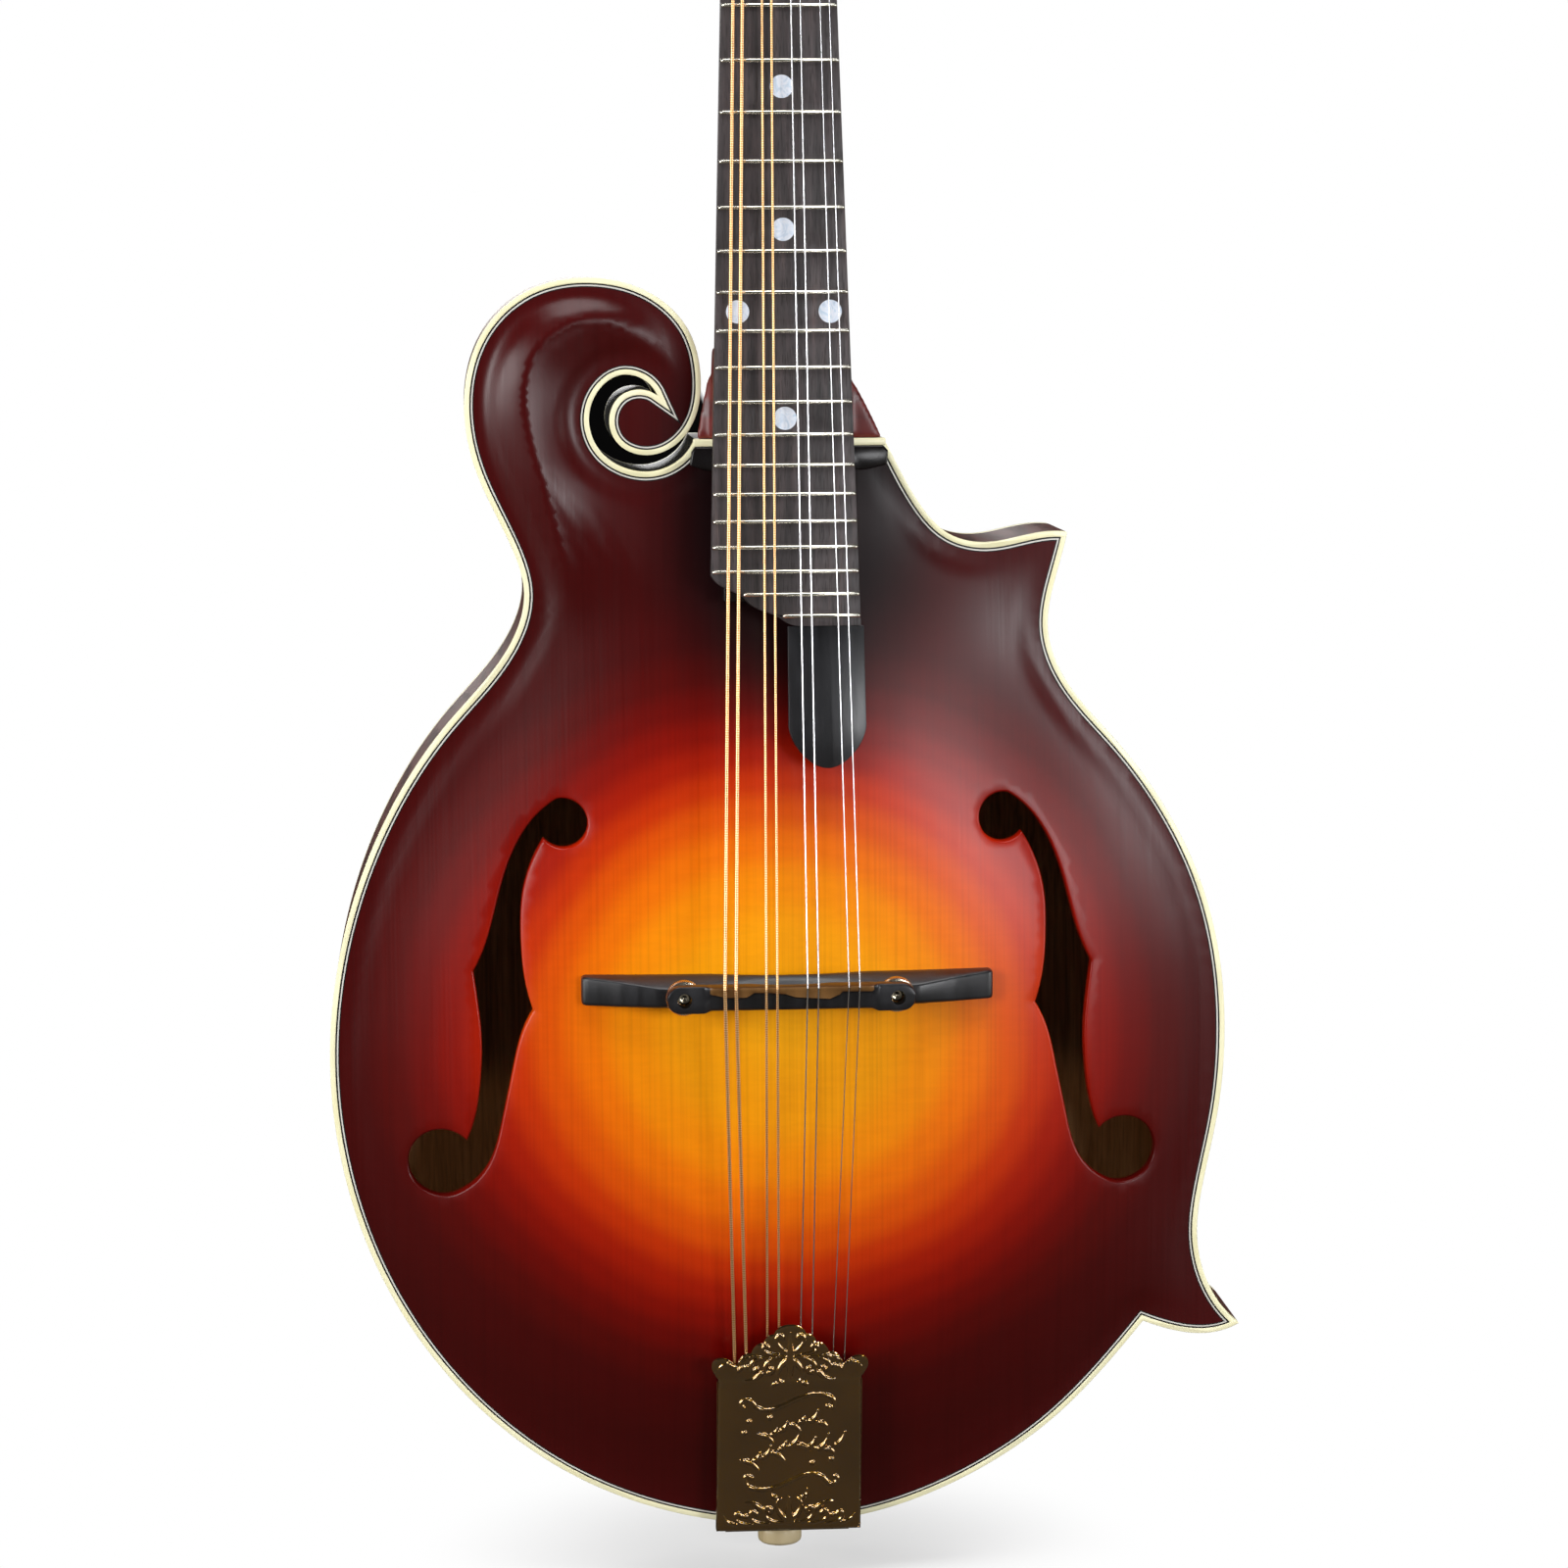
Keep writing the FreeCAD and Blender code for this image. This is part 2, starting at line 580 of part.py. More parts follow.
def make_head_trim():
    ring = band(HEAD, 0, 1.4, -OVERLAY, 0)
    face = prism(inset(HEAD, 1.4), -OVERLAY, 0)
    for x, z in post_places():
        face = face.cut(rod(5.2, V(x, -3, z), V(x, 1, z)))
    pocket = box(-5, 5, -3, 1, 0.0, 19.0)
    flower = [(0.0, 106.0), (3.6, 113.0), (9.0, 117.0), (3.6, 121.0), (0.0, 130.0),
              (-3.6, 121.0), (-9.0, 117.0), (-3.6, 113.0)]
    inlay = polygon_prism(flower, -OVERLAY, -OVERLAY + 0.8)
    cover_runs = [run([(-8.0, 1.5), (-10.5, 9.0), (-7.6, 18.0), (-3.4, 25.0), (0.0, 33.0)]),
                  run([(0.0, 33.0), (3.4, 25.0), (7.6, 18.0), (10.5, 9.0), (8.0, 1.5)]),
                  [(8.0, 1.5), (-8.0, 1.5)]]
    cover = prism(cover_runs, -OVERLAY - 1.4, -OVERLAY)
    screws = []
    for x, z in ((0.0, 28.0), (-6.6, 6.0), (6.6, 6.0)):
        head = rod(1.3, V(x, -OVERLAY - 2.0, z), V(x, -OVERLAY - 1.4, z))
        shank = rod(0.7, V(x, -OVERLAY - 1.4, z), V(x, 3.0, z))
        screws.append(head.fuse(shank))
    screws = Part.makeCompound(screws)
    face = face.cut(pocket).cut(inlay).cut(screws)
    return {"headstock_overlay": face, "headstock_binding": ring, "headstock_inlay": inlay,
            "truss_rod_cover": cover.cut(screws), "truss_cover_screws": screws}


# ---- tuners, in the head's own frame --------------------------------------------------------
PLATE_Y = HEAD_THICK
WORM_Y = PLATE_Y + 4.6
POST_FRONT = -10.5


def gear(x, z):
    """Toothed wheel on the post's lower end."""
    points = []
    for k in range(TEETH):
        for turn, radius in ((-0.32, 4.4), (-0.16, 5.7), (0.16, 5.7), (0.32, 4.4)):
            angle = 2 * math.pi * (k + turn) / TEETH + math.pi / 2
            points.append((x + radius * math.cos(angle), z + radius * math.sin(angle)))
    return polygon_prism(points, WORM_Y - 1.3, WORM_Y + 1.3)


def make_post(x, z):
    stem = rod(3.0, V(x, -3.2, z), V(x, WORM_Y + 2.2, z))
    waist = rod(2.4, V(x, -8.4, z), V(x, -3.2, z))
    cap = rod(3.0, V(x, POST_FRONT, z), V(x, -8.4, z))
    post = stem.fuse(waist).fuse(cap).fuse(gear(x, z))
    return post.cut(rod(0.7, V(x - 5, -6.0, z), V(x + 5, -6.0, z)))


def make_key(x, z):
    side = 1 if x > 0 else -1
    low = z - WORM_DROP

    def at(u):
        return V(side * u, WORM_Y, low)

    shaft = rod(1.25, at(8.4), at(36.0))
    worm = rod(1.7, at(11.2), at(21.6))
    collar = rod(2.1, at(24.4), at(26.2))
    knob = Part.makeBox(11.5, 6.0, 14.0, V(34.0 if side > 0 else -45.5, WORM_Y - 3.0, low - 7.0))
    knob = knob.makeFillet(2.6, knob.Edges)
    return shaft.fuse(worm).fuse(collar).fuse(knob)


def make_tuner_plate(side):
    first, last = TUNER_FIRST, TUNER_FIRST + 3 * TUNER_STEP
    near, far = side * 8.6, side * 24.2
    plate = box(min(near, far), max(near, far), PLATE_Y, PLATE_Y + 1.1, first - 14, last + 8)
    for row in range(4):
        z = TUNER_FIRST + TUNER_STEP * row
        low = z - WORM_DROP
        for u0, u1 in ((8.8, 10.8), (22.0, 24.0)):
            x0, x1 = sorted((side * u0, side * u1))
            plate = plate.fuse(box(x0, x1, PLATE_Y, WORM_Y + 2.6, low - 2.8, low + 2.8))
        plate = plate.cut(rod(3.05, V(side * TUNER_X, PLATE_Y - 1, z),
                              V(side * TUNER_X, PLATE_Y + 2, z)))
        plate = plate.cut(rod(1.3, V(side * 5, WORM_Y, low), V(side * 30, WORM_Y, low)))
    for z in screw_rows():
        plate = plate.cut(plate_screw(side, z))
    return plate


def screw_rows():
    return [TUNER_FIRST - 12.4] + [TUNER_FIRST + TUNER_STEP * (row + 0.28) for row in range(4)]


def plate_screw(side, z):
    x = side * 13.5 if z > TUNER_FIRST else side * TUNER_X
    head = Part.makeSphere(1.7, V(x, PLATE_Y + 0.7, z), V(0, 1, 0), 0, 90, 360)
    return head.fuse(rod(0.8, V(x, PLATE_Y - 6, z), V(x, PLATE_Y + 1, z)))


def make_bushings():
    rings = []
    for x, z in post_places():
        flange = rod(5.2, V(x, -OVERLAY - 0.9, z), V(x, 0, z))
        sleeve = rod(3.4, V(x, 0, z), V(x, 7.0, z))
        rings.append(flange.fuse(sleeve).cut(rod(3.05, V(x, -5, z), V(x, 9, z))))
    return Part.makeCompound(rings)


# ---- bridge ---------------------------------------------------------------------------------
SADDLE_Y = -49.0          # underside of the saddle at rest
BASE_Y = -44.6            # top of the bridge base in its middle
POST_HALF = 29.2
POST_Z = BRIDGE_Z - 3.4
WHEEL_RADIUS = 5.0


def side_prism(points, z0, z1):
    """A prism along Z on (x, y) points."""
    corners = [V(x, y, z0) for x, y in points]
    return Part.Face(Part.makePolygon(corners + corners[:1])).extrude(V(0, 0, z1 - z0))


def make_bridge_base():
    side_view = [(-57.0, -38.6), (-46.0, -42.2), (-36.0, BASE_Y), (36.0, BASE_Y), (46.0, -42.2),
                 (57.0, -38.6), (57.0, -20.0), (-57.0, -20.0)]
    bar = side_prism([(x + CENTRE, y) for x, y in side_view], 163.9, 174.3)
    relief = rod(60.0, V(CENTRE, 19.0, 160.0), V(CENTRE, 19.0, 180.0))
    base = bar.cut(UNDER_FRONT).cut(relief)
    for side in (-1, 1):
        x = CENTRE + side * POST_HALF
        base = base.cut(rod(1.92, V(x, BASE_Y + 5.0, POST_Z), V(x, -60, POST_Z)))
    return base


def make_bridge_posts():
    posts = []
    for side in (-1, 1):
        x = CENTRE + side * POST_HALF
        posts.append(rod(1.92, V(x, BASE_Y + 5.0, POST_Z), V(x, CROWN_Y + 2.6, POST_Z)))
    return Part.makeCompound(posts)


def make_wheel(side):
    x = CENTRE + side * POST_HALF
    rim = rod(WHEEL_RADIUS, V(x, SADDLE_Y + 0.1, POST_Z), V(x, SADDLE_Y + 2.6, POST_Z))
    return rim.cut(rod(2.0, V(x, -60, POST_Z), V(x, -30, POST_Z)))


def make_saddle():
    """A bar with rounded ends, a narrow crown that zigzags by course, and a hollow belly."""
    half, lobe = 34.1, 3.8
    mid_z = BRIDGE_Z - 3.2
    bar = box(CENTRE - half + lobe, CENTRE + half - lobe, CROWN_Y + 1.8, SADDLE_Y,
              mid_z - lobe, mid_z + lobe)
    for side in (-1, 1):
        x = CENTRE + side * (half - lobe)
        bar = bar.fuse(rod(lobe, V(x, CROWN_Y + 1.8, mid_z), V(x, SADDLE_Y, mid_z)))
    crown = box(CENTRE - 22.5, CENTRE + 22.5, CROWN_Y, CROWN_Y + 1.8, BRIDGE_Z - 1.4,
                BRIDGE_Z + 0.5)
    belly = rod(26.0, V(CENTRE, SADDLE_Y + 23.6, mid_z - 9), V(CENTRE, SADDLE_Y + 23.6, mid_z + 9))
    saddle = bar.fuse(crown).cut(belly)
    for side in (-1, 1):
        x = CENTRE + side * POST_HALF
        saddle = saddle.cut(rod(2.0, V(x, -70, POST_Z), V(x, -40, POST_Z)))
    return saddle


# ---- tailpiece ------------------------------------------------------------------------------
HOOK_Z = 54.0
HOOK_Y = -35.2
BASE_SLOPE = 0.235
COVER_SLOPE = 0.17


def wedge(x0, x1, y_front, y_back, slope, z0, z1):
    """A plate that rises towards the neck: depths are given at z0."""
    rise = slope * (z1 - z0)
    corners = [V(x0, y_front, z0), V(x0, y_back, z0), V(x0, y_back - rise, z1),
               V(x0, y_front - rise, z1)]
    return Part.Face(Part.makePolygon(corners + corners[:1])).extrude(V(x1 - x0, 0, 0))


def cover_front(z):
    return -30.4 - COVER_SLOPE * (z - 12.6)


def make_tail_base(screws):
    leaf = wedge(CENTRE - 17.5, CENTRE + 17.5, -24.2, -23.0, BASE_SLOPE, 12.0, 62.0)
    foot = box(CENTRE - 17.5, CENTRE + 17.5, -24.2, -8.6, 10.0, 11.2)
    riser = box(CENTRE - 17.5, CENTRE + 17.5, -24.2, -23.0, 10.0, 12.2)
    base = leaf.fuse(foot).fuse(riser)
    for offset in (-13.4, -4.9, 4.9, 13.4):
        for pair in (-1.65, 1.65):
            x = CENTRE + offset + pair
            base = base.fuse(rod(0.8, V(x, -32.6, HOOK_Z - 3.0), V(x, HOOK_Y - 0.4, HOOK_Z - 3.0)))
    return base.cut(screws)


def make_tail_screws():
    screws = []
    for x in (-11.0, 0.0, 11.0):
        head = rod(2.0, V(CENTRE + x, -13.5, 9.0), V(CENTRE + x, -13.5, 10.0))
        screws.append(head.fuse(rod(1.0, V(CENTRE + x, -13.5, 10.0), V(CENTRE + x, -13.5, 24.0))))
    return Part.makeCompound(screws)


def cover_plan():
    """The cover seen from the front: straight sides, two ears and a lobed crown."""
    half = [(20.4, 12.6), (20.3, 58.5), (22.0, 62.0), (20.6, 65.0), (17.0, 65.0), (14.6, 63.2),
            (11.4, 67.6), (7.6, 69.4), (6.4, 71.6), (3.0, 73.6), (0.0, 74.6)]
    left = [(-x, z) for x, z in reversed(half[:-1])]
    return [(CENTRE + x, z) for x, z in half + left]


def make_cover():
    """Thin pressed shell that slides off past the tail, open at its neck end and below."""
    plan = polygon_prism(cover_plan(), -60, -10)
    skin = wedge(-30, 30, cover_front(12.0), cover_front(12.0) + 0.8, COVER_SLOPE, 12.0, 80.0)
    shell = plan.common(skin)
    for side in (-1, 1):
        x0, x1 = sorted((CENTRE + side * 19.6, CENTRE + side * 20.4))
        wall = wedge(x0, x1, cover_front(12.6), cover_front(12.6) + 4.6, COVER_SLOPE, 12.6, 58.0)
        shell = shell.fuse(wall)
    return shell.fuse(box(CENTRE - 20.4, CENTRE + 20.4, cover_front(12.6), -25.0, 12.6, 13.4))


def make_strap_button():
    flange = Part.makeCone(6.6, 5.6, 1.6, V(0, 0, 12.0), V(0, 0, -1))
    waist = Part.makeCone(5.6, 3.8, 4.6, V(0, 0, 10.4), V(0, 0, -1))
    flare = Part.makeCone(3.8, 6.3, 3.8, V(0, 0, 5.8), V(0, 0, -1))
    head = rod(6.3, V(0, 0, 2.0), V(0, 0, -1.5))
    lip = Part.makeCone(6.3, 4.9, 1.1, V(0, 0, -1.5), V(0, 0, -1))
    return flange.fuse(waist).fuse(flare).fuse(head).fuse(lip)


def button_pin():
    return Part.makeCone(3.4, 2.8, 18.0, V(0, 0, 11.0), V(0, 0, 1))


# ---- strings --------------------------------------------------------------------------------
COURSES = {"g": (-1.5, 0.5), "d": (-0.5, 0.34), "a": (0.5, 0.2), "e": (1.5, 0.14)}
POSTS_OF = {"g": (0, 1), "d": (2, 3), "a": (7, 6), "e": (5, 4)}


def head_point(x, y, z):
    """A point of the head's own frame in the body's frame."""
    return on_head(Part.Vertex(V(x, y, z))).Point


def string_path(place, radius, pair, post):
    """Hook, bridge crown, nut and the inner side of the tuner post."""
    tail = V(CENTRE + place * 8.93 + pair * 1.65, HOOK_Y, HOOK_Z - 1.6)
    crown = V(CENTRE + place * 11.29 + pair * 1.5, CROWN_Y - 0.06 - radius, BRIDGE_Z)
    nut = on_neck(Part.Vertex(V(place * 6.73 + pair * 1.2 + CENTRE, -BOARD - 1.5 - radius,
                                2.0))).Point
    x, z = post_places()[post]
    side = 1 if x > 0 else -1
    end = head_point(x - side * (2.4 + radius + 0.05), -6.4, z)
    return [tail, crown, nut, end]


def make_strings():
    courses = {}
    for name, (place, radius) in COURSES.items():
        wires = []
        for pair, post in zip((-1, 1), POSTS_OF[name]):
            points = string_path(place, radius, pair, post)
            path = Part.makePolygon(points)
            ring = Part.Wire(Part.makeCircle(radius, points[0], points[1] - points[0]))
            wires.append(path.makePipeShell([ring], True, False, 1))
        courses["strings_" + name] = Part.makeCompound(wires)
    return courses


# ---- everything -----------------------------------------------------------------------------
def make_parts():
    pin = button_pin()
    head_block, tail_block, point_blocks = make_blocks(pin)
    blocks = [tail_block, point_blocks]
    strings = make_strings()
    all_strings = Part.makeCompound(list(strings.values()))
    tail_screws = make_tail_screws()
    board_space = on_neck(box(-40, 40, -60, 0, -310, 20))
    rod_shape, rod_nut = truss_parts()
    parts = {"top_plate": make_top(), "back_plate": make_back(),
             "ribs": make_ribs(pin).cut(tail_screws),
             "top_lining": make_lining(FRONT + EDGE, FRONT + EDGE + LINING_HEIGHT, blocks),
             "back_lining": make_lining(BACK - EDGE - LINING_HEIGHT, BACK - EDGE, blocks),
             "head_block": head_block, "tail_block": tail_block.cut(tail_screws),
             "point_blocks": point_blocks, "tone_bars": make_tone_bars(),
             "neck": make_neck(), "truss_rod": rod_shape, "truss_rod_nut": rod_nut,
             "fretboard": make_fretboard(), "frets": make_frets(), "fret_markers": make_dots(),
             "fretboard_extension": make_extension(), "neck_riser": make_riser(board_space),
             "nut": make_nut(all_strings), "bridge_base": make_bridge_base(),
             "bridge_posts": make_bridge_posts(), "bridge_saddle": make_saddle().cut(all_strings),
             "thumbwheel_bass": make_wheel(-1), "thumbwheel_treble": make_wheel(1),
             "tailpiece_base": make_tail_base(tail_screws), "tailpiece_cover": make_cover(),
             "tailpiece_screws": tail_screws,
             "strap_button": make_strap_button().fuse(pin)}
    parts.update(make_edge_lines())
    parts.update(strings)
    for name, shape in make_head_trim().items():
        parts[name] = on_head(shape)
    for side, name in ((-1, "bass"), (1, "treble")):
        parts["tuner_plate_" + name] = on_head(make_tuner_plate(side))
    screws = [plate_screw(side, z) for side in (-1, 1) for z in screw_rows()]
    parts["tuner_plate_screws"] = on_head(Part.makeCompound(screws))
    for cutter in (parts["tuner_plate_screws"], parts["truss_cover_screws"], nut_blank()):
        parts["neck"] = parts["neck"].cut(cutter)
    parts["tuner_bushings"] = on_head(make_bushings())
    for number, (x, z) in enumerate(post_places(), 1):
        parts["tuner_post_%d" % number] = on_head(make_post(x, z))
        parts["tuner_key_%d" % number] = on_head(make_key(x, z))
    return parts


def main():
    os.makedirs("parts", exist_ok=True)
    for name, shape in make_parts().items():
        shape.exportStep("parts/%s.step" % name)
        print("%-22s %9.1f mm3  solids %d  valid %s" % (name, shape.Volume, len(shape.Solids),
                                                       shape.isValid()))


main()
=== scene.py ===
import json
import math

import bmesh
import bpy
import numpy as np
from mathutils import Matrix, Vector, geometry

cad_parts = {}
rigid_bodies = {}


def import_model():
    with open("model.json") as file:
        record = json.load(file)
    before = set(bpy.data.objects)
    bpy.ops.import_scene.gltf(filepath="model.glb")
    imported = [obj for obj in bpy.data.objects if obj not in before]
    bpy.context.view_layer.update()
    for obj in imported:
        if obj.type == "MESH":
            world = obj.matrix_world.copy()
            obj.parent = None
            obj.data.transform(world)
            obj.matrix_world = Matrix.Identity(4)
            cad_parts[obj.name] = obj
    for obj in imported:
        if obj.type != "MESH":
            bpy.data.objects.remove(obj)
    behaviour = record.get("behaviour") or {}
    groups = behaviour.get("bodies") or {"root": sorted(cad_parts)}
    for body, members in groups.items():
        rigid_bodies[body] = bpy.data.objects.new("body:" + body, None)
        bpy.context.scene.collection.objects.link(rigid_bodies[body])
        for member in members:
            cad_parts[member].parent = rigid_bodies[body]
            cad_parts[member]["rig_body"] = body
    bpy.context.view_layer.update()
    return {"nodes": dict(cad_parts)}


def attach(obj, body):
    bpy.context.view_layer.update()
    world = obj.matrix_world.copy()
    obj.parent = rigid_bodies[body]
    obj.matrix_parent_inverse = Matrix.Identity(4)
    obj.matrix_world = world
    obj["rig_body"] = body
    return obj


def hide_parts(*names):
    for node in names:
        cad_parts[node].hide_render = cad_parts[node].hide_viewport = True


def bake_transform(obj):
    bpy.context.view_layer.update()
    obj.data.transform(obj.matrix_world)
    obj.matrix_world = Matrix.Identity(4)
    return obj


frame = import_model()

# Lengths are in millimetres, as in the CAD source, and turn into metres where a mesh is made.
MM = 0.001
FRONT, BACK, EDGE = -21.5, 21.5, 4.0
TOP_ARCH, BACK_ARCH, PLATE = 15.5, 13.0, 4.5
PLATE_END = 319.9
CENTRE = 0.4
SCALE_LENGTH = 352.4
BRIDGE_Z, CROWN_Y = 171.8, -55.1
BOARD = 5.0
BRIDGE_POST_X, BRIDGE_POST_Z = 29.2, 168.4
NUT_Y, NUT_Z, NUT_WIDTH, BOARD_TAPER = -19.0, 524.9, 26.6, 0.0562
NECK_LEAN, HEAD_LEAN = -4.38, -14.0
STEPPED_FRETS = {21: -11.6, 22: -0.9}
TUNER_X, TUNER_FIRST, TUNER_STEP, WORM_DROP, WORM_Y = 16.5, 34.0, 23.0, 7.7, 17.6
TEETH, GEAR_RADIUS, WORM_START, WORM_END = 15, 5.05, 12.0, 21.0
BUTTON_X, BUTTON_REACH, BUTTON_DEPTH, BUTTON_WIDTH = 39.75, 5.72, 2.98, 6.98
POST_RADIUS, WINDING_Y = 2.45, -6.4
HOOK_Y, HOOK_Z = -35.2, 52.4
COVER_FOOT, COVER_Y, COVER_SLOPE = 12.6, -30.4, 0.17
COVER_SIDE, COVER_BEND = (19.7, 20.38), 58.0

SHOULDER = [(28.8, PLATE_END), (33.2, 311.4), (38.8, 301.7), (46.9, 293.2), (57.9, 290.5),
            (69.0, 292.4), (80.2, 293.2)]
TREBLE_SIDE = [(80.2, 293.2), (77.0, 281.0), (74.8, 266.5), (79.3, 252.9), (94.0, 234.9),
               (107.6, 216.5), (117.5, 196.6), (123.4, 175.0), (125.3, 151.7), (123.5, 128.7),
               (119.1, 106.6), (117.8, 93.5), (121.3, 78.6), (130.0, 67.3)]
LOWER_POINT = [(130.0, 67.3), (119.0, 64.6), (110.4, 65.9), (102.4, 68.6)]
BASS_SIDE = [(102.4, 68.6), (93.3, 57.7), (76.8, 41.0), (53.3, 25.4), (27.5, 15.4), (0.0, 12.0),
             (-30.2, 15.9), (-56.1, 25.7), (-79.4, 41.6), (-99.2, 63.1), (-113.5, 87.4),
             (-122.4, 113.7), (-126.3, 147.9), (-122.0, 182.3), (-110.6, 213.7), (-92.1, 242.0),
             (-75.6, 262.0), (-70.7, 277.0), (-74.4, 291.4), (-83.5, 311.6), (-86.5, 331.0),
             (-80.9, 349.8), (-68.1, 361.1), (-51.4, 364.2), (-35.1, 359.9), (-24.8, 349.8),
             (-21.5, 337.0), (-23.5, 324.7), (-29.6, 317.6), (-37.6, 315.6), (-44.6, 319.0),
             (-46.7, 325.4), (-43.6, 331.8), (-39.3, 333.5), (-33.4, 331.8)]
SLOT_SIDE = [(-33.4, 331.8), (-37.4, 336.4), (-43.4, 337.6), (-49.3, 333.8), (-52.3, 325.5),
             (-49.6, 317.2), (-42.4, 312.0), (-33.6, 311.3), (-26.6, 314.9), (-23.3, PLATE_END)]
CREST = [(-56.0, 262.0), (-60.7, 290.2), (-65.4, 308.4), (-69.8, 327.9), (-69.2, 338.7),
         (-65.4, 346.4), (-58.7, 351.1), (-51.3, 352.8), (-41.9, 350.1), (-35.1, 345.4),
         (-31.0, 339.5), (-32.0, 334.0)]
RIDGE = 4.8


# ---- camera, light and floor --------------------------------------------------------------
# In metres and radians: the camera, the sides of the floor, and the way from the camera's place
# through the scroll's slot, where the far backdrop has its dark patch.
EYE = Vector((-0.08778, -1.22499, 0.36989))
PITCH, YAW, ROLL = 0.120441, -0.073520, -0.005460
LENS, SENSOR = 100.23, 36
FLOOR_LEVEL, FLOOR_SIDES = -0.0034, 64
SLOT_SIGHT = (Vector((-0.0355, 0.0, 0.3235)) - EYE).normalized()
PATCH_SIZE, PATCH_SHADE = 0.0140, 0.0025
LIGHTS_AIM = (0, 0, 0.2)


def make_camera():
    base = np.array([[1, 0, 0], [0, 0, -1], [0, 1, 0]], float)
    ca, sa = math.cos(PITCH), math.sin(PITCH)
    cb, sb = math.cos(YAW), math.sin(YAW)
    cc, sc = math.cos(ROLL), math.sin(ROLL)
    tip = np.array([[1, 0, 0], [0, ca, -sa], [0, sa, ca]])
    turn = np.array([[cb, 0, sb], [0, 1, 0], [-sb, 0, cb]])
    lean = np.array([[cc, -sc, 0], [sc, cc, 0], [0, 0, 1]])
    rows = lean @ tip @ turn @ base
    world = np.eye(4)
    world[:3, 0], world[:3, 1], world[:3, 2] = rows[0], -rows[1], -rows[2]
    world[:3, 3] = EYE
    data = bpy.data.cameras.new("camera")
    data.lens = LENS
    data.sensor_width = SENSOR
    camera = bpy.data.objects.new("camera", data)
    camera.matrix_world = Matrix(world.tolist())
    bpy.context.scene.collection.objects.link(camera)
    bpy.context.scene.camera = camera


def make_light(name, place, size, radiance, colour=(1, 1, 1)):
    """A rectangle of light of a given brightness, aimed at the body."""
    data = bpy.data.lights.new(name, "AREA")
    data.shape = "RECTANGLE"
    data.size, data.size_y = size
    data.energy = radiance * math.pi * size[0] * size[1]
    data.color = colour
    light = bpy.data.objects.new(name, data)
    light.location = place
    light.rotation_mode = "QUATERNION"
    light.rotation_quaternion = (Vector(LIGHTS_AIM) - Vector(place)).to_track_quat("-Z", "Y")
    bpy.context.scene.collection.objects.link(light)


def make_surroundings():
    scene = bpy.context.scene
    scene.view_settings.view_transform = "Standard"
    world = bpy.data.worlds.new("studio")
    scene.world = world
    world.use_nodes = True
    tree = world.node_tree
    tree.nodes.clear()
    out = tree.nodes.new("ShaderNodeOutputWorld")
    seen, room, pick = (tree.nodes.new(k) for k in (
        "ShaderNodeBackground", "ShaderNodeBackground", "ShaderNodeMixShader"))
    path = tree.nodes.new("ShaderNodeLightPath")
    room.inputs["Color"].default_value = (1, 0.97, 0.93, 1)
    room.inputs["Strength"].default_value = 0.05
    tree.links.new(dark_patch(tree), seen.inputs["Color"])
    tree.links.new(path.outputs["Is Camera Ray"], pick.inputs[0])
    tree.links.new(room.outputs[0], pick.inputs[1])
    tree.links.new(seen.outputs[0], pick.inputs[2])
    tree.links.new(pick.outputs[0], out.inputs["Surface"])
    make_light("key", (0.72, -1.41, 0.34), (0.44, 0.34), 17.0, (0.97, 0.98, 1.0))
    make_light("left_box", (-1.19, -1.12, 0.54), (0.42, 0.60), 16.0)
    make_light("top_box", (0.1, -0.55, 1.75), (1.3, 0.8), 6.5)
    make_light("right_fill", (1.62, -0.55, 0.18), (0.8, 0.9), 5.5)
    make_light("left_fill", (-1.65, -0.50, 0.22), (0.7, 0.9), 6.5)
    make_light("rear_fill", (-0.6, 1.9, 1.3), (1.6, 1.4), 3.6)


def dark_patch(tree):
    """White all round but for one dark patch of the far backdrop.

    It lies in a fixed direction. From the scene's own camera it fills the scroll's slot, as the
    dark stand behind it does; from other places it shows as a dark disc beside the object.
    """
    place = tree.nodes.new("ShaderNodeTexCoord")
    gap = tree.nodes.new("ShaderNodeVectorMath")
    gap.operation = "DISTANCE"
    gap.inputs[1].default_value = SLOT_SIGHT
    tree.links.new(place.outputs["Generated"], gap.inputs[0])
    shade = tree.nodes.new("ShaderNodeMapRange")
    for i, v in enumerate((0.0, PATCH_SIZE * 0.96, PATCH_SIZE * 1.04, PATCH_SHADE, 1.0)):
        shade.inputs[i].default_value = v
    tree.links.new(gap.outputs["Value"], shade.inputs[0])
    return shade.outputs[0]


